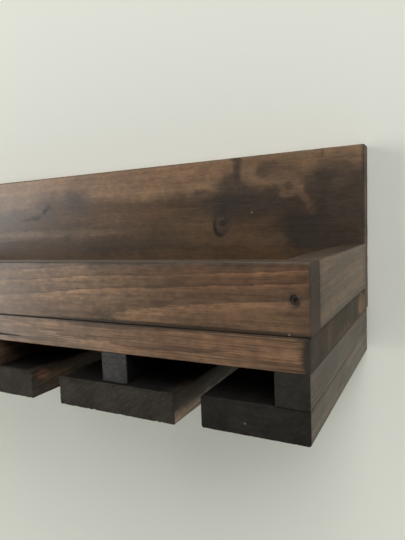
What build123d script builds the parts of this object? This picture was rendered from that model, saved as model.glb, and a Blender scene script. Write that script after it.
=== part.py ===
from build123d import *
from dataclasses import dataclass
from functools import cache
import os

# Wall wine rack: bottles stand in the tray on top, glasses hang by their feet from the slats below.
# Millimetres. +X runs along the shelf to the right, +Y into the wall, +Z up.
# The origin is on the wall plane, at the centre of the back board's rear face.

# Boards, in dressed sizes
stock_thickness = 19.05
back_height = 139.7
shelf_depth = 184.15
rail_height = 38.1
end_slat_width = 63.5
mid_slat_width = 88.9
spacer_width = 19.05
spacer_height = 19.05

# Channels for the glasses' feet, between the spacers
channel_width = 95.25
channel_count = 5
wall_gap = 6.35  # slats and spacers end this far from the wall
mid_slat_overhang = 3.0  # middle slats stand this far proud of the shelf's front
end_slat_setback = 0.5  # end slats stop this far behind it
rail_overhang = 1.0  # the tray's rails stand this far proud of the shelf's ends

# Edges
edge_round = 1.5  # factory-eased long edges
ripped_round = 0.8  # long edges of the sawn spacers
corner_round = 2.2  # sanded top corners of the back board

# Screws: their radii and how deep each kind bites into the last piece that it joins
wood_head_radius = 4.1
wood_shank_radius = 2.1
trim_head_radius = 2.7
trim_shank_radius = 1.6
plate_head_radius = 3.3
plate_shank_radius = 1.75
head_angle = 45  # of a head's underside
rail_screw_bite = 19.0
back_screw_bite = 31.0
trim_screw_bite = 26.0
slat_screw_cover = 7.0  # wood left between a slat screw's point and the shelf's top
plate_screw_cover = 4.0  # wood left between a plate screw's point and the back board's front
screw_sides = 12  # their round faces are this many flats, as the shanks lie hidden in the wood

# Screw holes, and where the screws stand
fit_clearance = 0.05  # between a screw and its hole
tool_overrun = 1.0  # how far a cutting tool runs out of the wood
screw_sink = 0.4  # of a head below the wood's face
trim_sink = 1.2
slat_screw_inset = 32.0  # from the shelf's front and back edges
side_screw_inset = 55.0  # from the side rail's ends
front_screw_inset = 8.0  # from the front rail's ends

# Keyhole hanger plates
hanger_spacing = 406.4
hanger_drop = 34.0  # from the back board's top edge to the plate's centre
plate_width = 16.0
plate_length = 44.0
plate_thickness = 1.5
plate_screw_reach = 16.0  # from the plate's centre to each of its screws
entry_radius = 4.75
slot_width = 5.0
slot_travel = 9.0
pocket_radius = 6.0
pocket_depth = 8.0
mortise_clearance = 0.1

# Derived layout
spacer_pitch = channel_width + spacer_width
length = channel_count * channel_width + (channel_count + 1) * spacer_width
end_x = length / 2
spacer_centres = [i * spacer_pitch - end_x + spacer_width / 2 for i in range(channel_count + 1)]
channel_centres = [x + spacer_pitch / 2 for x in spacer_centres[:-1]]
rail_end_x = end_x + rail_overhang
side_rail_x = rail_end_x - stock_thickness / 2

shelf_back_y = -stock_thickness
front_y = shelf_back_y - shelf_depth
rail_back_y = front_y + stock_thickness
front_rail_y = front_y + stock_thickness / 2
slat_back_y = -wall_gap

shelf_bottom_z = -back_height / 2
shelf_top_z = shelf_bottom_z + stock_thickness
rail_top_z = shelf_top_z + rail_height
rail_middle_z = shelf_top_z + rail_height / 2
shelf_middle_z = shelf_bottom_z + stock_thickness / 2
slat_top_z = shelf_bottom_z - spacer_height
slat_bottom_z = slat_top_z - stock_thickness
hanger_z = back_height / 2 - hanger_drop
entry_z = hanger_z - slot_travel / 2

# Directions that a screw points in, turned from straight up
TO_WALL = Rotation(-90, 0, 0)
FROM_WALL = Rotation(90, 0, 0)


@dataclass(frozen=True)
class Screw:
    """A countersunk screw. Its head's flat face is at the origin and it points up."""

    head_radius: float
    shank_radius: float
    length: float
    sink: float

    def body(self, clearance):
        """A tapered head on a shank, grown all round by a clearance."""
        head = RegularPolygon(self.head_radius + clearance, screw_sides)
        shank = RegularPolygon(self.shank_radius + clearance, screw_sides)
        cone = extrude(head, self.head_radius - self.shank_radius, taper=head_angle)
        return cone + extrude(shank, self.length + clearance)

    def solid(self):
        """The screw itself."""
        return self.body(0).solid()

    def hole(self):
        """The countersunk hole that the screw fits, run out past the wood's face."""
        head = RegularPolygon(self.head_radius + fit_clearance, screw_sides)
        mouth = extrude(head, -self.sink - tool_overrun)
        return (self.body(fit_clearance) + mouth).solid()


class ScrewSet:
    """Screws of one kind, as a group of separate solids, and the tools that cut their holes."""

    def __init__(self, screw, places):
        solid, hole = screw.solid(), screw.hole()
        self.solids = Compound([place * solid for place in places])
        self.holes = [place * hole for place in places]


def wood_screw(depth):
    """A wood screw whose point is at a depth below the face that it enters."""
    return Screw(wood_head_radius, wood_shank_radius, depth - screw_sink, screw_sink)


def both_sides(*places):
    """The places, then their mirror images on the rack's left."""
    return [(side * x, y, z) for side in (1, -1) for x, y, z in places]


@cache
def slat_screws():
    """Two screws in each slat, up through its spacer into the shelf."""
    screw = wood_screw(2 * stock_thickness + spacer_height - slat_screw_cover)
    rows = (front_y + slat_screw_inset, shelf_back_y - slat_screw_inset)
    head_z = slat_bottom_z + screw.sink
    places = [Pos(x, y, head_z) for x in spacer_centres for y in rows]
    return ScrewSet(screw, places)


@cache
def rail_screws():
    """One screw in each channel's ceiling, up through the shelf into the front rail."""
    screw = wood_screw(stock_thickness + rail_screw_bite)
    head_z = shelf_bottom_z + screw.sink
    return ScrewSet(screw, [Pos(x, front_rail_y, head_z) for x in channel_centres])


@cache
def side_rail_screws():
    """Two screws up through the shelf into each side rail, covered by the end spacers."""
    screw = wood_screw(stock_thickness + rail_screw_bite)
    head_z = shelf_bottom_z + screw.sink
    rows = (rail_back_y + side_screw_inset, shelf_back_y - side_screw_inset)
    places = both_sides(*((side_rail_x, y, head_z) for y in rows))
    return ScrewSet(screw, [Pos(*place) for place in places])


@cache
def back_board_screws():
    """Screws from behind: one per channel into the shelf, and one into each side rail's end."""
    screw = wood_screw(stock_thickness + back_screw_bite)
    places = [(x, -screw.sink, shelf_middle_z) for x in channel_centres]
    places += both_sides((side_rail_x, -screw.sink, rail_middle_z))
    return ScrewSet(screw, [Pos(*place) * FROM_WALL for place in places])


@cache
def front_rail_screws():
    """Trim-head screws through the front rail's face into the side rails' ends."""
    reach = stock_thickness + trim_screw_bite - trim_sink
    screw = Screw(trim_head_radius, trim_shank_radius, reach, trim_sink)
    places = both_sides((rail_end_x - front_screw_inset, front_y + screw.sink, rail_middle_z))
    return ScrewSet(screw, [Pos(*place) * TO_WALL for place in places])


@cache
def keyhole_plate_screws():
    """Two short screws in each hanger plate, flush with its face."""
    reach = stock_thickness - plate_screw_cover
    screw = Screw(plate_head_radius, plate_shank_radius, reach, 0.0)
    heights = (hanger_z - plate_screw_reach, hanger_z + plate_screw_reach)
    places = both_sides(*((hanger_spacing / 2, 0, z) for z in heights))
    return ScrewSet(screw, [Pos(*place) * FROM_WALL for place in places])


def board(x, y, z, grain, radius):
    """A board between two values of x, y and z, with its long edges rounded along its grain."""
    size = [high - low for low, high in (x, y, z)]
    centre = [(high + low) / 2 for low, high in (x, y, z)]
    blank = Pos(*centre) * Box(*size)
    return fillet(blank.edges().filter_by(grain), radius)


def around(centre, width):
    """The two values that lie half a width to each side of a centre."""
    return (centre - width / 2, centre + width / 2)


def end_run(side, end, width):
    """The x values of a piece of a width on one side, with its outer face at a distance `end`."""
    return tuple(sorted((side * end, side * (end - width))))


def keyhole_path(radius):
    """A round-ended slot along the way that a wall screw's head travels, on the wall plane."""
    travel = Pos(0, slot_travel / 2) * Rectangle(2 * radius, slot_travel)
    return travel + Circle(radius) + Pos(0, slot_travel) * Circle(radius)


def plate_outline(clearance):
    """The hanger plate's round-ended outline, grown by a clearance."""
    return SlotOverall(plate_length + 2 * clearance, plate_width + 2 * clearance, rotation=90)


def let_in(sketch, x, z, depth):
    """A sketch on the wall plane, centred at x and z and carried into the back board."""
    return extrude(Plane.XZ * Pos(x, z) * sketch, depth)


def keyhole_plate(side):
    """A steel hanger plate with its keyhole: a round entry and a slot going up from it."""
    x = side * hanger_spacing / 2
    plate = let_in(plate_outline(0), x, hanger_z, plate_thickness)
    keyhole = keyhole_path(slot_width / 2) + Circle(entry_radius)
    plate -= let_in(keyhole, x, entry_z, plate_thickness)
    return plate - keyhole_plate_screws().holes


def hanger_cutters():
    """The stepped mortises: a shallow seat for each plate and a deeper pocket behind its keyhole."""
    cutters = []
    for x in (-hanger_spacing / 2, hanger_spacing / 2):
        cutters.append(let_in(plate_outline(mortise_clearance), x, hanger_z, plate_thickness))
        cutters.append(let_in(keyhole_path(pocket_radius), x, entry_z, pocket_depth))
    return cutters


def back_board():
    """The tall board on the wall, with sanded top corners and its face edges rounded all round."""
    blank = Pos(0, -stock_thickness / 2, 0) * Box(length, stock_thickness, back_height)
    top_corners = blank.edges().filter_by(Axis.Y).group_by(Axis.Z)[-1]
    blank = fillet(top_corners, corner_round)
    outlines = blank.edges().group_by(Axis.Y)
    blank = fillet(outlines[0] + outlines[-1], edge_round)
    return blank - hanger_cutters() - keyhole_plate_screws().holes - back_board_screws().holes


def shelf_board():
    """The shelf, which butts against the back board's face."""
    blank = board(
        around(0, length), (front_y, shelf_back_y), (shelf_bottom_z, shelf_top_z), Axis.X, edge_round
    )
    for screws in (slat_screws(), rail_screws(), side_rail_screws(), back_board_screws()):
        blank -= screws.holes
    return blank


def front_rail():
    """The rail along the shelf's front edge, a little past it at each end."""
    blank = board(
        (-rail_end_x, rail_end_x),
        (front_y, rail_back_y),
        (shelf_top_z, rail_top_z),
        Axis.X,
        edge_round,
    )
    return blank - rail_screws().holes - front_rail_screws().holes


def side_rail(side):
    """The short rail between the front rail and the back board."""
    blank = board(
        end_run(side, rail_end_x, stock_thickness),
        (rail_back_y, shelf_back_y),
        (shelf_top_z, rail_top_z),
        Axis.Y,
        edge_round,
    )
    for screws in (side_rail_screws(), front_rail_screws(), back_board_screws()):
        blank -= screws.holes
    return blank


def spacer(x):
    """The sawn strip that holds a slat below the shelf."""
    blank = board(
        around(x, spacer_width),
        (front_y, slat_back_y),
        (slat_top_z, shelf_bottom_z),
        Axis.Y,
        ripped_round,
    )
    return blank - slat_screws().holes


def slat(x, front):
    """A slat under its spacer, between two x values, with its front end at `front`."""
    blank = board(x, (front, slat_back_y), (slat_bottom_z, slat_top_z), Axis.Y, edge_round)
    return blank - slat_screws().holes


def end_slat(side):
    """The narrower slat, flush with the shelf's end."""
    return slat(end_run(side, end_x, end_slat_width), front_y + end_slat_setback)


def mid_slat(x):
    """The wider slat, centred on its spacer as a T."""
    return slat(around(x, mid_slat_width), front_y - mid_slat_overhang)


parts = {
    "back_board": back_board(),
    "shelf_board": shelf_board(),
    "front_rail": front_rail(),
    "slat_screws": slat_screws().solids,
    "rail_screws": rail_screws().solids,
    "side_rail_screws": side_rail_screws().solids,
    "back_board_screws": back_board_screws().solids,
    "front_rail_screws": front_rail_screws().solids,
    "keyhole_plate_screws": keyhole_plate_screws().solids,
}
for name, side in (("left", -1), ("right", 1)):
    parts[f"side_rail_{name}"] = side_rail(side)
    parts[f"end_slat_{name}"] = end_slat(side)
    parts[f"keyhole_plate_{name}"] = keyhole_plate(side)
for number, x in enumerate(spacer_centres, start=1):
    parts[f"spacer_{number}"] = spacer(x)
for number, x in enumerate(spacer_centres[1:-1], start=1):
    parts[f"mid_slat_{number}"] = mid_slat(x)

os.makedirs("parts", exist_ok=True)
for name, shape in parts.items():
    export_step(shape, f"parts/{name}.step")
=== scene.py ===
import logging
import math
from abc import ABC, abstractmethod
from collections.abc import Iterable
from dataclasses import dataclass, field, replace
from enum import Enum
from typing import Any, ClassVar

import bmesh
import bpy
from mathutils import Euler, Matrix, Vector, noise


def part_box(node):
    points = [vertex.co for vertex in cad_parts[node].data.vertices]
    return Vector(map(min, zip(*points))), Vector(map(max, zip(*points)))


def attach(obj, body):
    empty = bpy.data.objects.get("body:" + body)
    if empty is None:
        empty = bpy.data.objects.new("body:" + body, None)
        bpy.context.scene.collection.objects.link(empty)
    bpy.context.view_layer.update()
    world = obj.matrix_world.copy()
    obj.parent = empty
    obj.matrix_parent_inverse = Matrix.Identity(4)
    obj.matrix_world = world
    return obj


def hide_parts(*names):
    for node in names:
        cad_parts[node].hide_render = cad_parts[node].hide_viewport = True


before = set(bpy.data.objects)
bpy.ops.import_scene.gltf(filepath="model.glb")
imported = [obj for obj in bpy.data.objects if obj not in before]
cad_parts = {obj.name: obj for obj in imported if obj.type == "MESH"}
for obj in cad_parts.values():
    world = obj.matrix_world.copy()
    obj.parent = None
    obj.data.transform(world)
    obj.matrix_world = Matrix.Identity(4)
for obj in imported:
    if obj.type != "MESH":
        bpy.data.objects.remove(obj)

log = logging.getLogger("wall_wine_rack")

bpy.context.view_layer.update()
BODY = "root"
MM = 0.001
ORIGIN = (0.0, 0.0, 0.0)
TOUCH = 1e-6  # places this close, in metres, are the same
NOISE_MIDDLE = (0.5, 0.5, 0.5)  # a colour noise's middle value
WELD = 0.015 * MM  # how near corners that a cut leaves are joined
BEVELLED = math.radians(40)  # edges sharper than this get a bevel
CREASED = math.radians(38)  # edges sharper than this are shaded as creases
UP, OUT, IN = (Vector(way) for way in ((0, 0, 1), (0, -1, 0), (0, 1, 0)))  # IN is into the wall

Colour = tuple[float, float, float]
Point = tuple[float, float, float]
Socket = bpy.types.NodeSocket


class Grain(Enum):
    """The direction that a board's grain runs in, as a turn about the vertical."""

    ALONG_SHELF = 0.0
    TO_WALL = math.pi / 2


class Drive(Enum):
    """The recess in a screw's head."""

    CROSS = "cross"
    SQUARE = "square"


# Node wiring


class Net:
    """Adds nodes to a node tree, one call for each node.

    Args:
        tree: The node tree that the nodes go in.
    """

    def __init__(self, tree: bpy.types.NodeTree) -> None:
        self.tree = tree

    @classmethod
    def of(cls, owner: bpy.types.Material | bpy.types.World) -> "Net":
        """Gives the net of a material's or a world's nodes."""
        owner.use_nodes = True
        return cls(owner.node_tree)

    def add(self, kind: str, **settings: Any) -> bpy.types.Node:
        """Adds a node.

        Args:
            kind: The node's type, without its "ShaderNode" prefix.
            settings: Properties that are set on the node.

        Returns:
            The node.
        """
        node = self.tree.nodes.new(f"ShaderNode{kind}")
        for name, value in settings.items():
            setattr(node, name, value)
        return node

    def feed(self, target: Socket, value: Any) -> None:
        """Links a socket to an input, or sets a plain value on it.

        Args:
            target: The input socket.
            value: A socket, a number, or a tuple of numbers.
        """
        if isinstance(value, Socket):
            self.tree.links.new(value, target)
        elif target.type == "RGBA" and len(value) == 3:
            target.default_value = (*value, 1.0)
        else:
            target.default_value = value

    def fill(self, node: bpy.types.Node, *values: Any, **inputs: Any) -> bpy.types.Node:
        """Feeds a node's inputs.

        Args:
            node: The node.
            values: What its first inputs get, in order.
            inputs: What its other inputs get, by name with _ for a space.

        Returns:
            The node.
        """
        for target, value in zip(node.inputs, values):
            self.feed(target, value)
        for name, value in inputs.items():
            self.feed(node.inputs[name.replace("_", " ")], value)
        return node

    def math(self, operation: str, *values: Any, clamp: bool = False) -> Socket:
        """Does a sum on numbers, and with `clamp` holds the result between 0 and 1."""
        return self.fill(self.add("Math", operation=operation, use_clamp=clamp), *values).outputs[0]

    def plus(self, first: Any, second: Any) -> Socket:
        """Adds two numbers."""
        return self.math("ADD", first, second)

    def minus(self, first: Any, second: Any) -> Socket:
        """Takes the second number from the first."""
        return self.math("SUBTRACT", first, second)

    def times(self, first: Any, second: Any) -> Socket:
        """Multiplies two numbers."""
        return self.math("MULTIPLY", first, second)

    def vector(self, operation: str, *values: Any) -> Socket:
        """Does a sum on vectors, or gives a vector's length."""
        node = self.fill(self.add("VectorMath", operation=operation), *values)
        return node.outputs["Value" if operation == "LENGTH" else "Vector"]

    def scaled(self, vector: Socket, amount: Any) -> Socket:
        """Multiplies a vector by a number or its socket, or by a tuple with a number for each axis."""
        if isinstance(amount, tuple):
            return self.vector("MULTIPLY", vector, amount)
        return self.fill(self.add("VectorMath", operation="SCALE"), Vector=vector, Scale=amount).outputs[0]

    def split(self, vector: Socket) -> tuple[Socket, Socket, Socket]:
        """Gives the sockets of a vector's X, Y and Z."""
        return tuple(self.fill(self.add("SeparateXYZ"), vector).outputs)

    def join(self, x: Any, y: Any, z: Any) -> Socket:
        """Makes a vector of sockets or numbers."""
        return self.fill(self.add("CombineXYZ"), x, y, z).outputs[0]

    def cells(self, position: Socket, along: float, across: float, offset: Socket | None = None) -> Socket:
        """Scales positions to the cells of a noise.

        Args:
            position: Positions in millimetres, with X along the grain.
            along: How long the noise's cells are along the grain, in millimetres.
            across: How wide they are across it.
            offset: What is added, so that boards differ.

        Returns:
            Where the noise is read.
        """
        scaled = self.scaled(position, (1 / along, 1 / across, 1 / across))
        return self.vector("ADD", scaled, offset) if offset else scaled

    def noise(
        self, position: Socket, scale: float = 1.0, detail: float = 2.0, output: str = "Fac"
    ) -> Socket:
        """Reads a noise texture.

        Args:
            position: Where it is read.
            scale: How many of its cells fit in one unit.
            detail: How many finer layers it has.
            output: "Fac" for a number, "Color" for three.

        Returns:
            The texture's socket.
        """
        node = self.fill(self.add("TexNoise"), Vector=position, Scale=scale, Detail=detail)
        return node.outputs[output]

    def smooth(self, value: Any, low: Any, high: Any, start: float = 0.0, end: float = 1.0) -> Socket:
        """Eases a value from one level to another.

        Args:
            value: The value that is read.
            low: Where the easing starts.
            high: Where it ends.
            start: The result at `low`.
            end: The result at `high`.

        Returns:
            The eased value's socket.
        """
        node = self.add("MapRange", interpolation_type="SMOOTHSTEP")
        self.fill(node, Value=value, From_Min=low, From_Max=high, To_Min=start, To_Max=end)
        return node.outputs["Result"]

    def fade(self, value: Any, low: Any, high: Any) -> Socket:
        """Eases a value down from 1 at `low` to 0 at `high`."""
        return self.smooth(value, low, high, 1.0, 0.0)

    def blend(self, amount: Any, first: Any, second: Any) -> Socket:
        """Blends two colours.

        Args:
            amount: How much of the second one shows, from 0 to 1.
            first: The colour underneath.
            second: The colour on top.

        Returns:
            The blended colour's socket.
        """
        node = self.add("Mix", data_type="RGBA", blend_type="MIX")
        self.feed(node.inputs["Factor"], amount)
        for name, value in (("A", first), ("B", second)):
            target = next(s for s in node.inputs if s.name == name and s.type == "RGBA")
            self.feed(target, value)
        return next(s for s in node.outputs if s.type == "RGBA")

    def bump(self, height: Socket, strength: float, distance: float) -> Socket:
        """Turns a height into a normal.

        Args:
            height: The height, from 0 to 1.
            strength: How much of it shows.
            distance: How high 1 is, in metres.

        Returns:
            The normal's socket.
        """
        node = self.fill(self.add("Bump"), Height=height, Strength=strength, Distance=distance)
        return node.outputs[0]

    def effect(self, kind: type["Effect"], **inputs: Any) -> dict[str, Socket]:
        """Places an effect's node group.

        Args:
            kind: The effect's class.
            inputs: Its named inputs, with _ for a space.

        Returns:
            Its outputs by name.
        """
        node = self.fill(self.add("Group", node_tree=kind.tree()), **inputs)
        return {socket.name: socket for socket in node.outputs}


class Effect(ABC):
    """A shader node group that several materials use, built when the first one asks for it.

    Attributes:
        TITLE: The group's name.
        INPUTS: Its inputs' names and defaults.
        OUTPUTS: Its outputs' names.
        MOVES_POINTS: Whether it gives points, not numbers.
    """

    TITLE: ClassVar[str]
    INPUTS: ClassVar[dict[str, float | Point]]
    OUTPUTS: ClassVar[tuple[str, ...]]
    MOVES_POINTS: ClassVar[bool] = False

    @classmethod
    def tree(cls) -> bpy.types.NodeTree:
        """Gives the effect's node group, and builds it if there is none yet.

        Returns:
            The node group.
        """
        found = bpy.data.node_groups.get(cls.TITLE)
        if found:
            return found
        tree = bpy.data.node_groups.new(cls.TITLE, "ShaderNodeTree")
        for name, default in cls.INPUTS.items():
            kind = "NodeSocketVector" if isinstance(default, tuple) else "NodeSocketFloat"
            socket = tree.interface.new_socket(name, in_out="INPUT", socket_type=kind)
            socket.default_value = default
        kind = "NodeSocketVector" if cls.MOVES_POINTS else "NodeSocketFloat"
        for name in cls.OUTPUTS:
            tree.interface.new_socket(name, in_out="OUTPUT", socket_type=kind)
        net = Net(tree)
        given = {socket.name: socket for socket in tree.nodes.new("NodeGroupInput").outputs}
        ends = tree.nodes.new("NodeGroupOutput")
        for name, socket in cls.wire(net, given).items():
            net.feed(ends.inputs[name], socket)
        return tree

    @classmethod
    @abstractmethod
    def wire(cls, net: Net, given: dict[str, Socket]) -> dict[str, Socket]:
        """Wires the effect.

        Args:
            net: Where its nodes go.
            given: The group's inputs by name.

        Returns:
            The sockets that feed the group's outputs, by name.
        """


# Effects. Positions are in millimetres from a board's centre, with X along its grain.


class GrowthRings(Effect):
    """Growth rings round a pith that runs beside the board and drifts towards or away from it."""

    TITLE = "growth_rings"
    INPUTS = {
        "Position": ORIGIN,
        "Pith": ORIGIN,
        "Drift": ORIGIN,
        "Spacing": 3.0,
        "Phase": 0.0,
        "Wander": 2.0,
        "Unevenness": 1.0,
        "Seed": 0.0,
    }
    OUTPUTS = ("Latewood", "Early", "Tone")

    @classmethod
    def wire(cls, net: Net, given: dict[str, Socket]) -> dict[str, Socket]:
        """Wires the rings: see Effect.wire."""
        position, seed = given["Position"], given["Seed"]
        along, _, _ = net.split(position)
        offset = net.join(seed, seed, seed)
        slow = net.cells(position, along=130, across=45, offset=offset)
        ripple = net.cells(position, along=7, across=2.5, offset=offset)
        sway = net.vector("SUBTRACT", net.noise(slow, detail=1.5, output="Color"), NOISE_MIDDLE)
        sway = net.scaled(sway, net.times(given["Wander"], 4.0))
        pith = net.vector("ADD", given["Pith"], net.scaled(given["Drift"], along))
        _, across, up = net.split(net.vector("ADD", net.vector("SUBTRACT", position, pith), sway))
        radius = net.math("POWER", net.plus(net.times(across, across), net.times(up, up)), 0.5)
        serration = net.times(net.minus(net.noise(ripple, detail=5), 0.5), 1.1)
        radius = net.plus(radius, serration)
        turns = net.plus(net.math("DIVIDE", radius, given["Spacing"]), given["Phase"])
        whole = net.math("FLOOR", turns)
        part = net.math("FRACT", turns)
        rise = net.math("POWER", net.smooth(part, 0.3, 0.94), 2.6)
        fall = net.fade(part, 0.95, 0.985)
        random = net.fill(net.add("TexWhiteNoise", noise_dimensions="1D"), W=net.plus(whole, seed))
        faint = net.times(net.smooth(random.outputs["Value"], 0.2, 0.9), given["Unevenness"])
        patchy = net.smooth(net.noise(slow, scale=2.7, detail=1), 0.3, 0.6, 0.4, 1.0)
        line = net.math("MULTIPLY", net.times(rise, fall), net.minus(patchy, faint), clamp=True)
        start = net.times(net.fade(part, 0.0, 0.25), patchy)
        return {"Latewood": line, "Early": start, "Tone": random.outputs["Value"]}


class WoodFibre(Effect):
    """Bands and streaks along the grain, hair lines, small blotches and short dark flecks."""

    TITLE = "wood_fibre"
    INPUTS = {"Position": ORIGIN, "Seed": 0.0}
    OUTPUTS = ("Band", "Streak", "Mottle", "Fine", "Hair", "Fleck")

    @classmethod
    def wire(cls, net: Net, given: dict[str, Socket]) -> dict[str, Socket]:
        """Wires the fibre: see Effect.wire."""
        offset = net.join(given["Seed"], given["Seed"], given["Seed"])

        def layer(along: float, across: float, detail: float) -> Socket:
            """Reads a noise whose cells have this length and width in millimetres."""
            return net.noise(net.cells(given["Position"], along, across, offset), detail=detail)

        bands = layer(300, 1.7, detail=2)
        line = net.math("ABSOLUTE", net.minus(bands, 0.5))
        broken = net.smooth(layer(50, 2.2, detail=2), 0.38, 0.6)
        return {
            "Band": layer(170, 5.5, detail=2),
            "Streak": layer(60, 2.2, detail=5),
            "Mottle": layer(6, 2.2, detail=4),
            "Fine": layer(14, 0.5, detail=3),
            "Hair": net.times(net.fade(line, 0.01, 0.085), broken),
            "Fleck": net.smooth(layer(4, 0.8, detail=1), 0.64, 0.76),
        }


class BoardEdges(Effect):
    """How near a point is to its board's edges and ends."""

    TITLE = "board_edges"
    INPUTS = {
        "Position": ORIGIN,
        "Half Size": (100.0, 10.0, 10.0),
        "Width": 2.0,
        "Soak": 4.0,
        "Ragged": 0.5,
    }
    OUTPUTS = ("Edge", "End", "Soaked")

    @classmethod
    def wire(cls, net: Net, given: dict[str, Socket]) -> dict[str, Socket]:
        """Wires the distances: see Effect.wire."""
        inside = net.vector("SUBTRACT", given["Half Size"], net.vector("ABSOLUTE", given["Position"]))
        x, y, z = net.split(inside)
        nearest = net.math("MINIMUM", y, z)
        farther = net.math("MAXIMUM", y, z)
        capped = net.math("MINIMUM", net.math("MAXIMUM", nearest, x), farther)
        second = net.math("MAXIMUM", net.math("MINIMUM", nearest, x), capped)
        reach = net.times(given["Soak"], given["Ragged"])
        return {
            "Edge": net.fade(second, 0.0, given["Width"]),
            "End": net.fade(x, 0.25, 0.9),
            "Soaked": net.fade(x, reach, net.plus(reach, 1.2)),
        }


class StainPool(Effect):
    """A soft-edged patch where the stain is darker or lighter."""

    TITLE = "stain_pool"
    INPUTS = {
        "Position": ORIGIN,
        "Centre": ORIGIN,
        "Radii": (10.0, 10.0, 10.0),
        "Softness": 0.5,
    }
    OUTPUTS = ("Mask",)

    @classmethod
    def wire(cls, net: Net, given: dict[str, Socket]) -> dict[str, Socket]:
        """Wires the patch: see Effect.wire."""
        away = net.vector("SUBTRACT", given["Position"], given["Centre"])
        distance = net.vector("LENGTH", net.vector("DIVIDE", away, given["Radii"]))
        inner = net.minus(1.0, given["Softness"])
        outer = net.plus(1.0, given["Softness"])
        return {"Mask": net.fade(distance, inner, outer)}


class KnotBend(Effect):
    """Bends the grain round a knot: it moves points so that rings read there part and flow past."""

    TITLE = "knot_bend"
    INPUTS = {"Position": ORIGIN, "Centre": ORIGIN, "Radii": (10.0, 100.0, 10.0)}
    OUTPUTS = ("Position",)
    MOVES_POINTS = True

    @classmethod
    def wire(cls, net: Net, given: dict[str, Socket]) -> dict[str, Socket]:
        """Wires the bend: see Effect.wire."""
        away = net.vector("SUBTRACT", given["Position"], given["Centre"])
        distance = net.vector("LENGTH", net.vector("DIVIDE", away, given["Radii"]))
        pull = net.smooth(distance, 0.3, 2.6, 0.9, 0.0)
        push = net.vector("MULTIPLY", away, net.join(0.0, 0.0, pull))
        return {"Position": net.vector("SUBTRACT", given["Position"], push)}


class SawMarks(Effect):
    """Slanting scratches that a saw leaves across end grain."""

    TITLE = "saw_marks"
    INPUTS = {"Position": ORIGIN, "Slant": 0.75, "Spacing": 1.5}
    OUTPUTS = ("Mark",)
    STRETCH: ClassVar[float] = 18.0  # how long the scratches are, in millimetres

    @classmethod
    def wire(cls, net: Net, given: dict[str, Socket]) -> dict[str, Socket]:
        """Wires the scratches: see Effect.wire."""
        _, across, up = net.split(given["Position"])
        slid = net.plus(up, net.times(across, given["Slant"]))
        line = net.math("DIVIDE", slid, given["Spacing"])
        run = net.math("DIVIDE", net.minus(across, net.times(up, given["Slant"])), cls.STRETCH)
        return {"Mark": net.smooth(net.noise(net.join(line, run, 0.0), detail=4), 0.3, 0.7)}


class ZincSkin(Effect):
    """Zinc plating: soft crystals, fine scratches and dull patches."""

    TITLE = "zinc_skin"
    INPUTS = {"Position": ORIGIN, "Seed": 0.0}
    OUTPUTS = ("Patch", "Scratch")

    @classmethod
    def wire(cls, net: Net, given: dict[str, Socket]) -> dict[str, Socket]:
        """Wires the plating: see Effect.wire."""
        crystals = net.fill(net.add("TexVoronoi", feature="F1"), Vector=given["Position"], Scale=0.9)
        _, tone, _ = net.split(crystals.outputs["Color"])
        cloud = net.noise(given["Position"], scale=0.25, detail=3)
        scratch = net.noise(net.scaled(given["Position"], (6.0, 6.0, 0.5)), detail=2)
        return {
            "Patch": net.plus(net.times(tone, 0.4), net.times(cloud, 0.6)),
            "Scratch": net.smooth(scratch, 0.45, 0.75),
        }


# Finishes


@dataclass(frozen=True)
class Pool:
    """A patch of darker or lighter stain on a board.

    Args:
        centre: Its centre, in millimetres from the board's centre with X along the grain.
        radii: Its half sizes.
        colour: Its colour.
        strength: How much of that colour shows.
        softness: How wide its blurred rim is, as a share of its radii.
        wobble: How uneven its outline is.
        dull: How much rougher the wood is there.
    """

    centre: Point
    radii: Point
    colour: Colour
    strength: float = 0.8
    softness: float = 0.45
    wobble: float = 1.0
    dull: float = 0.0


@dataclass(frozen=True)
class Knot:
    """A knot: where a branch left the trunk, across the board's thickness.

    Args:
        centre: Its centre, in millimetres from the board's centre with X along the grain.
        radii: The half sizes of its body.
    """

    centre: Point
    radii: Point

    def marks(self) -> tuple[Pool, ...]:
        """Gives its patches, each as a place and half sizes in shares of the knot's own.

        Returns:
            Its dark rim, its body that leaves a crescent of that, a paler spot and its heart.
        """
        (x, y, z), (rx, ry, rz) = self.centre, self.radii
        patches = (
            (-0.1, -0.15, 0.85, 0.85, (0.008, 0.006, 0.005), 0.92, 0.25, 0.4),
            (0.45, 0.2, 0.95, 0.85, (0.048, 0.032, 0.021), 0.96, 0.3, 0.5),
            (0.15, 0.6, 0.4, 0.2, (0.1, 0.066, 0.045), 0.5, 0.6, 0.4),
            (0.42, 0.2, 0.44, 0.3, (0.02, 0.014, 0.011), 0.88, 0.35, 0.2),
        )
        return tuple(
            Pool((x + right * rx, y, z + up * rz), (wide * rx, ry, high * rz), *look)
            for right, up, wide, high, *look in patches
        )


@dataclass(frozen=True)
class Figure:
    """How the growth rings lie in a board, in millimetres from its centre with X along the grain.

    Args:
        pith: A point on the line that the rings go round.
        drift: How far that line strays for each millimetre along the board.
        spacing: How far apart the rings are.
        phase: Where the first one starts, as a share of the spacing.
        wander: How much the rings sway.
        uneven: How much their lines differ in strength.
        seed: What makes this board's chance patterns its own.
    """

    pith: Point
    drift: Point = (0.0, 0.0, 0.0)
    spacing: float = 3.0
    phase: float = 0.0
    wander: float = 2.0
    uneven: float = 0.9
    seed: float = 0.0


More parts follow.
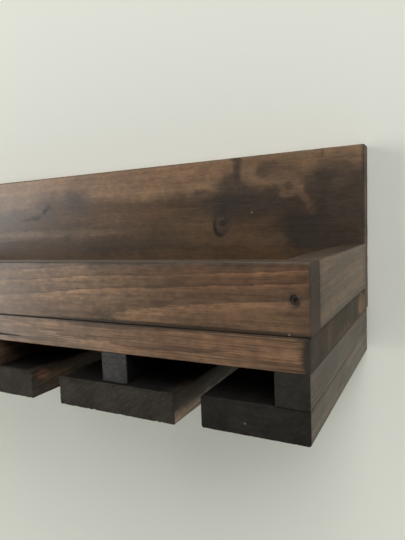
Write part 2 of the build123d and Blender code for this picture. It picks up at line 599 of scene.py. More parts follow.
@dataclass(frozen=True)
class Stain:
    """A wood stain: the colours that the wood's parts take from it, its gloss and how evenly it lies.

    Args:
        early: The colour of the soft wood between the rings' lines.
        end: The colour of end grain.
        worn: The colour of rubbed edges.
        dark: The colour of flecks and hair lines.
        late: How much lighter than the wood round them the rings' lines are, by colour channel.
        ringed: How dark the wood is just past each line.
        roughness: Its roughness.
        gloss: Its specular level.
        cloud: How much large clouds lighten and darken it.
        mottle: How much small blotches do.
        band: How much broad bands along the grain do.
        streak: How much streaks along the grain do.
        hair: How strong the hair lines are.
        chatter: How much faint bands across the grain do.
        wear: How much the edges are rubbed.
        soak: How far end grain's stain creeps round the corner, in millimetres.
    """

    early: Colour
    end: Colour
    worn: Colour
    dark: Colour = (0.014, 0.009, 0.006)
    late: Colour = (2.0, 2.0, 2.0)
    ringed: float = 0.28
    roughness: float = 0.38
    gloss: float = 0.37
    cloud: float = 0.2
    mottle: float = 0.16
    band: float = 0.08
    streak: float = 0.12
    hair: float = 0.3
    chatter: float = 0.0
    wear: float = 0.3
    soak: float = 0.6


@dataclass
class WoodSurface:
    """The values over a board's surface that its material is mixed from.

    Args:
        net: Where the material's nodes go.
        position: Positions in millimetres from the board's centre, with X along the grain.
        warp: A slow, three-way noise that makes outlines uneven.
        cloud: A large soft noise.
        rings: What the growth rings give.
        fibre: What the fibre gives.
        edges: How near the board's edges and ends are.
    """

    STRAY: ClassVar[float] = 22.0  # millimetres, for a patch with a wobble of 1

    net: Net
    position: Socket
    warp: Socket
    cloud: Socket
    rings: dict[str, Socket]
    fibre: dict[str, Socket]
    edges: dict[str, Socket]

    def swing(self, value: Socket, amount: float) -> Socket:
        """Turns a noise into a factor that swings by this amount about 1."""
        return self.net.smooth(value, 0.25, 0.75, 1 - amount, 1 + amount)

    def strayed(self, amount: float) -> Socket:
        """Gives positions that stray unevenly.

        Args:
            amount: How far, from 0 for not at all.

        Returns:
            The positions' socket.
        """
        if not amount:
            return self.position
        return self.net.vector("ADD", self.position, self.net.scaled(self.warp, self.STRAY * amount))

    def mask(self, pool: Pool) -> Socket:
        """Tells where a patch of stain lies."""
        place = self.strayed(pool.wobble)
        shape = {"Centre": pool.centre, "Radii": pool.radii, "Softness": pool.softness}
        return self.net.effect(StainPool, Position=place, **shape)["Mask"]


@dataclass(frozen=True)
class WoodFinish:
    """A board's own wood.

    Args:
        stain: Its stain.
        figure: How its growth rings lie.
        pools: Patches of stain on its faces.
        knots: Its knots.
        upper: A colour that the stain changes to upwards, and the heights where that starts and ends.
        marks: Patches that lie over everything, end grain too.
        saw: How strong the saw marks on its end grain are.
    """

    stain: Stain
    figure: Figure
    pools: tuple[Pool, ...] = ()
    knots: tuple[Knot, ...] = ()
    upper: tuple[Colour, float, float] | None = None
    marks: tuple[Pool, ...] = ()
    saw: float = 0.0

    def material(self, board: "Board") -> bpy.types.Material:
        """Builds the board's material.

        Args:
            board: The board that it goes on.

        Returns:
            The material.
        """
        material = bpy.data.materials.new(f"{board.node}_wood")
        net = Net.of(material)
        wood = self.surface(net, board)
        tone = self.tone(wood)
        patches = self.pools + tuple(mark for knot in self.knots for mark in knot.marks())
        colour = self.patched(wood, self.face_colour(wood, tone), tone, patches)
        colour = net.blend(wood.rings["Latewood"], colour, net.scaled(colour, self.stain.late))
        colour = net.blend(net.times(wood.fibre["Fleck"], 0.45), colour, self.stain.dark)
        colour = net.blend(net.times(wood.fibre["Hair"], self.stain.hair), colour, self.stain.dark)
        rubbed = net.times(wood.edges["Edge"], net.smooth(wood.cloud, 0.35, 0.6, 0.3, 1.0))
        colour = net.blend(net.times(rubbed, self.stain.wear), colour, self.stain.worn)
        ends = net.math("MAXIMUM", wood.edges["End"], net.times(wood.edges["Soaked"], 0.85))
        colour = net.blend(ends, colour, self.end_colour(wood))
        colour = self.patched(wood, colour, tone, self.marks)
        net.fill(
            net.tree.nodes["Principled BSDF"],
            Base_Color=colour,
            Roughness=self.roughness(wood),
            Specular_IOR_Level=self.stain.gloss,
            Normal=self.relief(wood),
        )
        return material

    def surface(self, net: Net, board: "Board") -> WoodSurface:
        """Reads the effects over a board.

        Args:
            net: Where the material's nodes go.
            board: The board.

        Returns:
            What they give.
        """
        position = self.board_space(net, board)
        warp = net.noise(position, scale=1 / 19, detail=4, output="Color")
        warp = net.vector("SUBTRACT", warp, NOISE_MIDDLE)
        cloud = net.noise(net.cells(position, along=45, across=22), detail=4)
        bent = position
        for knot in self.knots:
            bent = net.effect(KnotBend, Position=bent, Centre=knot.centre, Radii=knot.radii)["Position"]
        rings = net.effect(
            GrowthRings,
            Position=bent,
            Pith=self.figure.pith,
            Drift=self.figure.drift,
            Spacing=self.figure.spacing,
            Phase=self.figure.phase,
            Wander=self.figure.wander,
            Unevenness=self.figure.uneven,
            Seed=self.figure.seed,
        )
        fibre = net.effect(WoodFibre, Position=bent, Seed=self.figure.seed)
        edges = net.effect(
            BoardEdges,
            Position=position,
            Half_Size=tuple(board.half_size_mm()),
            Width=net.smooth(fibre["Streak"], 0.3, 0.7, 0.6, 2.6),
            Soak=self.stain.soak,
            Ragged=net.smooth(fibre["Fine"], 0.3, 0.7),
        )
        return WoodSurface(net, position, warp, cloud, rings, fibre, edges)

    def tone(self, wood: WoodSurface) -> Socket:
        """Lightens and darkens the wood from place to place.

        Args:
            wood: The board's surface.

        Returns:
            The factor's socket.
        """
        net, stain = wood.net, self.stain
        chance = net.smooth(wood.rings["Tone"], 0.0, 1.0, -0.07, 0.07)
        tone = net.plus(wood.swing(wood.fibre["Streak"], stain.streak), chance)
        tone = net.minus(tone, net.times(wood.rings["Early"], stain.ringed))
        for value, amount in (
            (wood.cloud, stain.cloud),
            (wood.fibre["Band"], stain.band),
            (wood.fibre["Mottle"], stain.mottle),
            (wood.fibre["Fine"], 0.14),
            (net.noise(wood.position, scale=1 / 6, detail=4), 0.7 * stain.mottle),
            (net.noise(net.cells(wood.position, along=9, across=300), detail=2), stain.chatter),
        ):
            if amount:
                tone = net.times(tone, wood.swing(value, amount))
        return tone

    def face_colour(self, wood: WoodSurface, tone: Socket) -> Socket:
        """Gives the stained wood's colour.

        Args:
            wood: The board's surface.
            tone: The factor that lightens and darkens it.

        Returns:
            The colour's socket.
        """
        net, early = wood.net, self.stain.early
        if self.upper:
            colour, low, high = self.upper
            _, _, height = net.split(wood.strayed(1.0))
            early = net.blend(net.smooth(height, low, high), early, colour)
        return net.scaled(net.join(*early) if isinstance(early, tuple) else early, tone)

    def patched(
        self, wood: WoodSurface, colour: Socket, tone: Socket, pools: tuple[Pool, ...]
    ) -> Socket:
        """Lays patches of stain over a colour.

        Args:
            wood: The board's surface.
            colour: The colour underneath.
            tone: The factor that lightens and darkens the wood.
            pools: The patches, in the order they are laid.

        Returns:
            The colour's socket.
        """
        net = wood.net
        for pool in pools:
            patch = net.scaled(net.join(*pool.colour), net.smooth(tone, 0.4, 1.6, 0.6, 1.4))
            colour = net.blend(net.times(wood.mask(pool), pool.strength), colour, patch)
        return colour

    def roughness(self, wood: WoodSurface) -> Socket:
        """Gives the roughness: more along some streaks, on end grain and where a patch is dull.

        Args:
            wood: The board's surface.

        Returns:
            The roughness's socket.
        """
        net, level = wood.net, self.stain.roughness
        rough = net.smooth(wood.fibre["Streak"], 0.2, 0.8, level - 0.04, level + 0.06)
        rough = net.plus(rough, net.times(wood.edges["End"], 0.45))
        for pool in self.pools + self.marks:
            if pool.dull:
                rough = net.plus(rough, net.times(wood.mask(pool), pool.dull))
        return rough

    def end_colour(self, wood: WoodSurface) -> Socket:
        """Gives the end grain's colour, with faint rings and saw marks.

        Args:
            wood: The board's surface.

        Returns:
            The colour's socket.
        """
        net = wood.net
        end = net.scaled(net.join(*self.stain.end), wood.swing(wood.fibre["Fine"], 0.2))
        end = net.scaled(end, wood.swing(wood.cloud, 0.35))
        end = net.scaled(end, wood.swing(wood.fibre["Mottle"], 0.18))
        if self.saw:
            sawn = net.smooth(self.saw_mark(wood), 0.0, 1.0, 1 - 0.3 * self.saw, 1 + 0.4 * self.saw)
            end = net.scaled(end, sawn)
        return net.blend(net.times(wood.rings["Latewood"], 0.07), end, self.stain.worn)

    def saw_mark(self, wood: WoodSurface) -> Socket:
        """Reads the saw marks."""
        return wood.net.effect(SawMarks, Position=wood.position)["Mark"]

    def relief(self, wood: WoodSurface) -> Socket:
        """Gives the normal of the raised grain, the flecks and the saw marks.

        Args:
            wood: The board's surface.

        Returns:
            The normal's socket.
        """
        net = wood.net
        height = net.plus(net.times(wood.fibre["Fine"], 0.5), net.times(wood.rings["Latewood"], 0.5))
        height = net.minus(height, net.times(wood.fibre["Fleck"], 0.6))
        if self.saw:
            mark = net.times(self.saw_mark(wood), wood.edges["End"])
            height = net.plus(height, net.times(mark, self.saw))
        return net.bump(height, 0.35, 0.3 * MM)

    def board_space(self, net: Net, board: "Board") -> Socket:
        """Gives positions in millimetres from the board's centre, with X along its grain.

        Args:
            net: Where the material's nodes go.
            board: The board.

        Returns:
            The positions' socket.
        """
        spot = net.fill(
            net.add("Mapping", vector_type="TEXTURE"),
            Vector=net.add("TexCoord").outputs["Object"],
            Location=tuple(board.centre()),
            Rotation=(0.0, 0.0, board.grain.value),
            Scale=(MM, MM, MM),
        )
        return spot.outputs[0]


@dataclass(frozen=True)
class SteelFinish:
    """A plated steel.

    Args:
        title: Its material's name.
        bright: The colour of its bright crystals.
        dull: The colour of its dull ones.
        roughness: Its middle roughness.
    """

    title: str
    bright: Colour
    dull: Colour
    roughness: float = 0.35

    def material(self) -> bpy.types.Material:
        """Gives the steel's material, and builds it if there is none yet.

        Returns:
            The material.
        """
        found = bpy.data.materials.get(self.title)
        if found:
            return found
        material = bpy.data.materials.new(self.title)
        net = Net.of(material)
        position = net.scaled(net.add("TexCoord").outputs["Object"], 1 / MM)
        skin = net.effect(ZincSkin, Position=position)
        rough = net.smooth(skin["Patch"], 0.2, 0.8, self.roughness + 0.1, self.roughness - 0.08)
        net.fill(
            net.tree.nodes["Principled BSDF"],
            Base_Color=net.blend(skin["Patch"], self.dull, self.bright),
            Metallic=1.0,
            Roughness=net.plus(rough, net.times(skin["Scratch"], 0.12)),
            Normal=net.bump(skin["Scratch"], 0.15, 0.1 * MM),
        )
        return material


# Meshes


def link(name: str, data: bpy.types.ID) -> bpy.types.Object:
    """Puts a mesh, lamp or camera in the scene as an object."""
    thing = bpy.data.objects.new(name, data)
    bpy.context.scene.collection.objects.link(thing)
    return thing


def stand_in(
    node: str, look: str, mesh: bpy.types.Mesh, material: bpy.types.Material
) -> bpy.types.Object:
    """Puts a mesh in the scene in the place of a CAD node, so that it rides with the rack.

    Args:
        node: The CAD node.
        look: What is added to the node's name for the piece's.
        mesh: The mesh, in place.
        material: Its material.

    Returns:
        The piece.
    """
    piece = link(f"{node}_{look}", mesh)
    mesh.materials.clear()
    mesh.materials.append(material)
    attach(piece, BODY)
    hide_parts(node)
    log.info("%s: %d faces", piece.name, len(mesh.polygons))
    return piece


def middle(node: str) -> Vector:
    """Gives the centre of a CAD node's box."""
    low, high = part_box(node)
    return (low + high) / 2


def to_mesh(name: str, bm: bmesh.types.BMesh) -> bpy.types.Mesh:
    """Writes a bmesh to a new mesh and frees it.

    Args:
        name: The mesh's name.
        bm: A closed bmesh, whose faces are turned outwards.

    Returns:
        The mesh.
    """
    bmesh.ops.recalc_face_normals(bm, faces=bm.faces)
    mesh = bpy.data.meshes.new(name)
    bm.to_mesh(mesh)
    bm.free()
    return mesh


def finished(
    mesh: bpy.types.Mesh, cutters: Iterable[bpy.types.Mesh] = (), rim: float = 0.0
) -> bpy.types.Mesh:
    """Cuts holes in a mesh and gives it clean shading.

    Args:
        mesh: The mesh.
        cutters: Meshes of what is cut out of it.
        rim: The width of a bevel on its sharp edges, or 0 for none.

    Returns:
        A new mesh.
    """
    work = link("work", mesh)
    tools = [link("tool", cutter) for cutter in cutters]
    for tool in tools:
        hole = work.modifiers.new("hole", "BOOLEAN")
        hole.operation, hole.solver, hole.object = "DIFFERENCE", "EXACT", tool
    if tools:
        work.modifiers.new("weld", "WELD").merge_threshold = WELD
    if rim:
        bevel = work.modifiers.new("rim", "BEVEL")
        bevel.width, bevel.segments, bevel.limit_method = rim, 2, "ANGLE"
        bevel.angle_limit = BEVELLED
    done = bpy.data.meshes.new_from_object(work.evaluated_get(bpy.context.evaluated_depsgraph_get()))
    for thing in [work, *tools]:
        bpy.data.objects.remove(thing)
    done.shade_smooth()
    done.set_sharp_from_angle(angle=CREASED)
    return done


@dataclass
class Board:
    """A solid board in the place of its CAD node, with eased edges that are a little uneven.

    Args:
        node: The CAD node that it stands for.
        grain: The way that its grain runs.
        slot: The record's material slot; not used.
        finish: Its wood.
        edge_round: The radius of its long edges, in metres.
        end_round: The width of its broken end edges, in metres.
        nick: How deep its edges are nicked, in metres.
        tear: How ragged its end edges are, in metres.
        step: The length of its grid's cells along the grain, in metres.
        cell: Their width across it, in metres.
        cutters: What is cut out of it.
    """

    DENTS: ClassVar[tuple[float, float]] = (110, 500)  # how many broad and small dents fit in a metre
    TEARS: ClassVar[tuple[float, float]] = (260, 1100)  # how many broad and small tears do

    node: str
    grain: Grain
    slot: str
    finish: WoodFinish
    edge_round: float = 1.5 * MM
    end_round: float = 0.5 * MM
    nick: float = 0.22 * MM
    tear: float = 0.1 * MM
    step: float = 7 * MM
    cell: float = 12 * MM
    cutters: list[bpy.types.Mesh] = field(default_factory=list)

    def centre(self) -> Vector:
        """The board's centre."""
        return middle(self.node)

    def half_size_mm(self) -> Vector:
        """Gives half the board's size.

        Returns:
            Half its length along the grain, width and height, in millimetres.
        """
        low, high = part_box(self.node)
        half = (high - low) / 2 / MM
        return Vector((half.y, half.x, half.z)) if self.grain is Grain.TO_WALL else half

    def blank(self) -> bmesh.types.BMesh:
        """Makes the board as a gridded block with rounded edges.

        Returns:
            The closed bmesh, lying along X at the origin.
        """
        half = self.half_size_mm() * MM
        bm = bmesh.new()
        bmesh.ops.create_cube(bm, size=2, matrix=Matrix.Diagonal((*half, 1)))
        for axis in range(3):
            runs = [e for e in bm.edges if abs((e.verts[0].co - e.verts[1].co)[axis]) > TOUCH]
            cuts = max(1, round(2 * half[axis] / (self.step if axis == 0 else self.cell))) - 1
            if cuts:
                bmesh.ops.subdivide_edges(bm, edges=runs, cuts=cuts, use_grid_fill=True)
        long_edges = [
            e for e in bm.edges
            if all(abs(abs(v.co[a]) - half[a]) < TOUCH for v in e.verts for a in (1, 2))
        ]
        self.round_off(bm, long_edges, self.edge_round, 4)
        end_edges = [
            e for e in bm.edges
            if all(abs(abs(v.co.x) - half.x) < TOUCH for v in e.verts)
            and any(abs(f.normal.x) < 0.5 for f in e.link_faces)
        ]
        self.round_off(bm, end_edges, self.end_round, 2)
        ends = [
            e for e in bm.edges
            if e.calc_length() > 3 * MM and all(half.x - abs(v.co.x) < 1.01 * self.end_round for v in e.verts)
        ]
        bmesh.ops.subdivide_edges(bm, edges=ends, cuts=round(self.cell / MM) - 1, use_grid_fill=True)
        end_faces = [f for f in bm.faces if abs(f.normal.x) > 0.9 or len(f.verts) > 4]
        bmesh.ops.triangulate(bm, faces=end_faces, quad_method="BEAUTY", ngon_method="BEAUTY")
        return bm

    def round_off(
        self, bm: bmesh.types.BMesh, edges: list[bmesh.types.BMEdge], width: float, segments: int
    ) -> None:
        """Rounds edges."""
        bmesh.ops.bevel(bm, geom=edges, offset=width, segments=segments, profile=0.5,
                        affect="EDGES", material=-1, clamp_overlap=True)

    def nick_edges(self, bm: bmesh.types.BMesh) -> None:
        """Presses the edges in a little, here and there.

        Args:
            bm: The board.
        """
        half = self.half_size_mm() * MM
        seed = Vector((self.finish.figure.seed, 0, 0))
        (dents, small_dents), (tears, small_tears) = self.DENTS, self.TEARS
        for vert in bm.verts:
            inside = sorted((half[a] - abs(vert.co[a]), a) for a in range(3))
            if inside[1][0] > 1.6 * self.edge_round:
                continue
            dent = noise.noise(vert.co * dents + seed) + 0.35 * noise.noise(vert.co * small_dents)
            depth = self.nick * max(0.0, dent)
            if half.x - abs(vert.co.x) < 2 * self.end_round:
                torn = 0.5 * noise.noise(vert.co * tears + seed)
                torn += 1.2 * noise.noise(vert.co * small_tears + seed)
                depth += self.tear * max(0.0, torn)
            for _, axis in inside[:2]:
                vert.co[axis] -= math.copysign(depth, vert.co[axis])

    def build(self) -> bpy.types.Object:
        """Builds, cuts, places and dresses the board.

        Returns:
            The piece.
        """
        bm = self.blank()
        self.nick_edges(bm)
        turn = Matrix.Rotation(self.grain.value, 4, "Z")
        bmesh.ops.transform(bm, matrix=Matrix.Translation(self.centre()) @ turn, verts=bm.verts)
        mesh = finished(to_mesh(self.node, bm), self.cutters)
        piece = stand_in(self.node, "stained", mesh, self.finish.material(self))
        piece.modifiers.new("flat_faces", "WEIGHTED_NORMAL").keep_sharp = True
        return piece


def stadium(width: float, length: float, depth: float) -> bmesh.types.BMesh:
    """Makes a round-ended plate on the wall plane.

    Args:
        width: Its width along X.
        length: Its overall length along Z.
        depth: How far it reaches towards -Y.

    Returns:
        The closed bmesh, centred on the origin.
    """
    bm = bmesh.new()
    turn = Matrix.Rotation(math.pi / 2, 4, "X") @ Matrix.Rotation(math.pi / 64, 4, "Z")
    bmesh.ops.create_circle(bm, cap_ends=True, radius=width / 2, segments=64, matrix=turn)
    for vert in bm.verts:
        vert.co.z += math.copysign((length - width) / 2, vert.co.z)
    sides = bmesh.ops.extrude_face_region(bm, geom=bm.faces[:])
    far = [v for v in sides["geom"] if isinstance(v, bmesh.types.BMVert)]
    bmesh.ops.translate(bm, vec=(0, -depth, 0), verts=far)
    return bm


def moved(bm: bmesh.types.BMesh, matrix: Matrix) -> bmesh.types.BMesh:
    """Moves all of a bmesh by a matrix and gives it back."""
    bmesh.ops.transform(bm, matrix=matrix, verts=bm.verts)
    return bm


@dataclass(frozen=True)
class WoodScrew:
    """A countersunk screw with a driver recess and a thread. Its head is at the origin and it points up.

    Args:
        head_radius: The radius of its head.
        shank_radius: The radius of its shank and its thread.
        length: Its length.
        drive: The recess in its head.
        pitch: How far the thread climbs in a turn.
    """

    head_radius: float
    shank_radius: float
    length: float
    drive: Drive = Drive.CROSS
    pitch: float = 2.4 * MM

    def body(self) -> bmesh.types.BMesh:
        """Spins the head, shank and point.

        Returns:
            The closed bmesh.
        """
        core = 0.68 * self.shank_radius
        cone = self.head_radius - self.shank_radius
        plain = 0.36 * self.length
        profile = [
            (0.0, 0.0),
            (self.head_radius - 0.1 * MM, 0.0),
            (self.head_radius, 0.15 * MM),
            (self.shank_radius, cone),
            (self.shank_radius, plain),
            (core, plain + 0.6 * MM),
            (core, self.length - 3 * core),
            (0.0, self.length),
        ]
        bm = bmesh.new()
        verts = [bm.verts.new((x, 0, z)) for x, z in profile]
        edges = [bm.edges.new(pair) for pair in zip(verts, verts[1:])]
        bmesh.ops.spin(bm, geom=verts + edges, axis=(0, 0, 1), cent=(0, 0, 0), angle=2 * math.pi,
                       steps=28, use_merge=True)
        bmesh.ops.remove_doubles(bm, verts=bm.verts, dist=1e-7)
        return bm

    def thread(self) -> bmesh.types.BMesh:
        """Winds a sharp ridge round the shank's lower part.

        Returns:
            The closed bmesh.
        """
        core, steps = 0.62 * self.shank_radius, 12
        start = 0.38 * self.length
        turns = (self.length - 3.2 * self.shank_radius - start) / self.pitch
        ridge = ((core, 0.0), (self.shank_radius - 0.02 * MM, 0.35 * self.pitch), (core, 0.7 * self.pitch))
        bm = bmesh.new()
        verts = [bm.verts.new((x, 0, start + z)) for x, z in ridge]
        edges = [bm.edges.new((verts[i], verts[i - 1])) for i in range(3)]
        count = round(turns * steps)
        bmesh.ops.spin(bm, geom=verts + edges, axis=(0, 0, 1), cent=(0, 0, 0),
                       dvec=(0, 0, self.pitch / steps), angle=2 * math.pi * count / steps, steps=count)
        bmesh.ops.holes_fill(bm, edges=bm.edges)
        return bm

    def recess(self) -> list[bpy.types.Mesh]:
        """Makes the cutters of the driver recess.

        Returns:
            One tapered block for a square recess, or two crossed ones.
        """
        reach = 0.52 * self.head_radius
        cutters = []
        if self.drive is Drive.SQUARE:
            sizes = [(reach, reach)]
        else:
            sizes = [(1.25 * reach, 0.26 * reach), (0.26 * reach, 1.25 * reach)]
        for x, y in sizes:
            bm = bmesh.new()
            block = Matrix.Diagonal((x, y, 0.55 * self.head_radius, 1))
            bmesh.ops.create_cube(bm, size=2, matrix=block)
            for vert in bm.verts:
                if vert.co.z > 0:
                    vert.co.x *= 0.72
                    vert.co.y *= 0.8
            cutters.append(to_mesh("recess", bm))
        return cutters

    def mesh(self) -> bpy.types.Mesh:
        """Gives the whole screw.

        Returns:
            Its mesh: the body with its recess, and the thread.
        """
        bm = bmesh.new()
        bm.from_mesh(finished(to_mesh("screw", self.body()), self.recess()))
        bm.from_mesh(to_mesh("thread", self.thread()))
        mesh = bpy.data.meshes.new("screw")
        bm.to_mesh(mesh)
        bm.free()
        return mesh

    def countersink(self, sink: float) -> bpy.types.Mesh:
        """Makes the cutter of the hole that shows above the screw's head.

        Args:
            sink: How far the head is below the wood's face.

        Returns:
            The cutter's mesh, with the head at the origin.
        """
        cone = self.head_radius - self.shank_radius
        top = self.head_radius + 0.12 * MM
        mouth = sink + 1 * MM
        bm = bmesh.new()
        bmesh.ops.create_cone(bm, cap_ends=True, segments=32, radius1=top, radius2=top, depth=mouth,
                              matrix=Matrix.Translation((0, 0, -mouth / 2)))
        deep = bmesh.new()
        bmesh.ops.create_cone(deep, cap_ends=True, segments=32, radius1=top,
                              radius2=self.shank_radius + 0.1 * MM, depth=cone,
                              matrix=Matrix.Translation((0, 0, cone / 2 - 0.0001 * MM)))
        bm.from_mesh(to_mesh("cone", deep))
        bmesh.ops.remove_doubles(bm, verts=bm.verts, dist=0.01 * MM)
        inner = [f for f in bm.faces if abs(f.normal.z) > 0.9 and abs(f.calc_center_median().z) < 0.05 * MM]
        bmesh.ops.delete(bm, geom=inner, context="FACES_ONLY")
        return to_mesh("countersink", bm)


@dataclass
class ScrewSet:
    """Screws of one kind, as one piece in the place of their CAD node.

    Args:
        node: The CAD node that they stand for.
        slot: The record's material slot; not used.
        screw: The kind of screw.
        sink: How far their heads are below the wood's face.
        points: The way that they point.
        heads: The centres of their heads.
    """

    SPIN: ClassVar[float] = 0.9  # how much further each is turned than the last, in radians
    THREAD_CREASED: ClassVar[float] = math.radians(35)  # edges sharper than this are shaded as creases

    node: str
    slot: str
    screw: WoodScrew
    sink: float
    points: Vector
    heads: list[Point]

    def place(self, head: Point, spin: float = 0.0) -> Matrix:
        """Gives the matrix that puts a screw, or its hole, at a head's centre, turned by the spin."""
        turn = UP.rotation_difference(self.points).to_matrix().to_4x4()
        return Matrix.Translation(Vector(head)) @ turn @ Matrix.Rotation(spin, 4, "Z")

    def holes(self) -> list[bpy.types.Mesh]:
        """Makes the cutters of the holes that show.

        Returns:
            One for each screw, in place.
        """
        cutters = []
        for head in self.heads:
            cutter = self.screw.countersink(self.sink)
            cutter.transform(self.place(head))
            cutters.append(cutter)
        return cutters

    def build(self, finish: SteelFinish) -> bpy.types.Object:
        """Builds the screws.

        Args:
            finish: Their steel.

        Returns:
            The piece.
        """
        bm = bmesh.new()
        pattern = self.screw.mesh()
        for number, head in enumerate(self.heads):
            copy = pattern.copy()
            copy.transform(self.place(head, self.SPIN * number))
            bm.from_mesh(copy)
        mesh = to_mesh(self.node, bm)
        mesh.shade_smooth()
        mesh.set_sharp_from_angle(angle=self.THREAD_CREASED)
        return stand_in(self.node, "steel", mesh, finish.material())


@dataclass
class HangerPlate:
    """A steel plate with a keyhole, let into the back board's rear.

    Args:
        node: The CAD node that it stands for.
        width: Its width.
        length: Its length.
        thickness: Its thickness.
        entry_radius: The radius of the keyhole's round entry.
        slot_width: The width of its slot.
        slot_travel: How far a wall screw travels in it.
        pocket_radius: The radius of the pocket's ends, in the board behind the keyhole.
        pocket_depth: The pocket's depth.
        clearance: The gap round the plate in its seat.
        screw_reach: From its centre to each of its screws.
        overrun: How far its cutters run out past the wall plane.
    """

    node: str
    width: float = 16 * MM
    length: float = 44 * MM
    thickness: float = 1.5 * MM
    entry_radius: float = 4.75 * MM
    slot_width: float = 5 * MM
    slot_travel: float = 9 * MM
    pocket_radius: float = 6 * MM
    pocket_depth: float = 8 * MM
    clearance: float = 0.1 * MM
    screw_reach: float = 16 * MM
    overrun: float = 1 * MM

    def centre(self) -> Vector:
        """The centre of the plate, on the wall plane."""
        centre = middle(self.node)
        return Vector((centre.x, 0, centre.z))

    def cutter(self, name: str, width: float, length: float, depth: float) -> bpy.types.Mesh:
        """Makes the cutter of a round-ended hole at the plate.

        Args:
            name: The cutter's name.
            width: The hole's width.
            length: Its overall length.
            depth: How deep it is from the wall plane.

        Returns:
            The cutter, run out past the wall plane.
        """
        bm = stadium(width, length, depth + self.overrun)
        return to_mesh(name, moved(bm, Matrix.Translation(self.centre() + Vector((0, self.overrun, 0)))))

    def mortise(self) -> list[bpy.types.Mesh]:
        """Makes the cutters of the mortise in the back board.

        Returns:
            Those of the plate's seat and of the pocket behind its keyhole.
        """
        gap = 2 * self.clearance
        pocket = 2 * self.pocket_radius
        return [
            self.cutter("seat", self.width + gap, self.length + gap, self.thickness),
            self.cutter("pocket", pocket, self.slot_travel + pocket, self.pocket_depth),
        ]

    def keyhole(self) -> list[bpy.types.Mesh]:
        """Makes the cutters of the plate's keyhole.

        Returns:
            Those of its round entry and of its slot.
        """
        bm = bmesh.new()
        turn = Matrix.Rotation(math.pi / 2, 4, "X")
        below = Vector((0, 0, -self.slot_travel / 2))
        bmesh.ops.create_cone(bm, cap_ends=True, segments=48, radius1=self.entry_radius,
                              radius2=self.entry_radius, depth=4 * self.thickness,
                              matrix=Matrix.Translation(self.centre() + below) @ turn)
        length = self.slot_travel + self.slot_width
        slot = self.cutter("slot", self.slot_width, length, 2 * self.thickness)
        return [to_mesh("entry", bm), slot]

    def screw_heads(self) -> list[Point]:
        """Gives the centres of its two screws' heads."""
        centre = self.centre()
        return [(centre.x, 0, centre.z + side * self.screw_reach) for side in (-1, 1)]

    def build(self, holes: list[bpy.types.Mesh], finish: SteelFinish) -> bpy.types.Object:
        """Builds the plate.

        Args:
            holes: The cutters of its screw holes.
            finish: Its steel.

        Returns:
            The piece.
        """
        blank = moved(stadium(self.width, self.length, self.thickness), Matrix.Translation(self.centre()))
        mesh = finished(to_mesh(self.node, blank), self.keyhole() + holes, rim=0.18 * MM)
        piece = stand_in(self.node, "steel", mesh, finish.material())
        piece.modifiers.new("flat_faces", "WEIGHTED_NORMAL").keep_sharp = True
        return piece


# The rack's parts


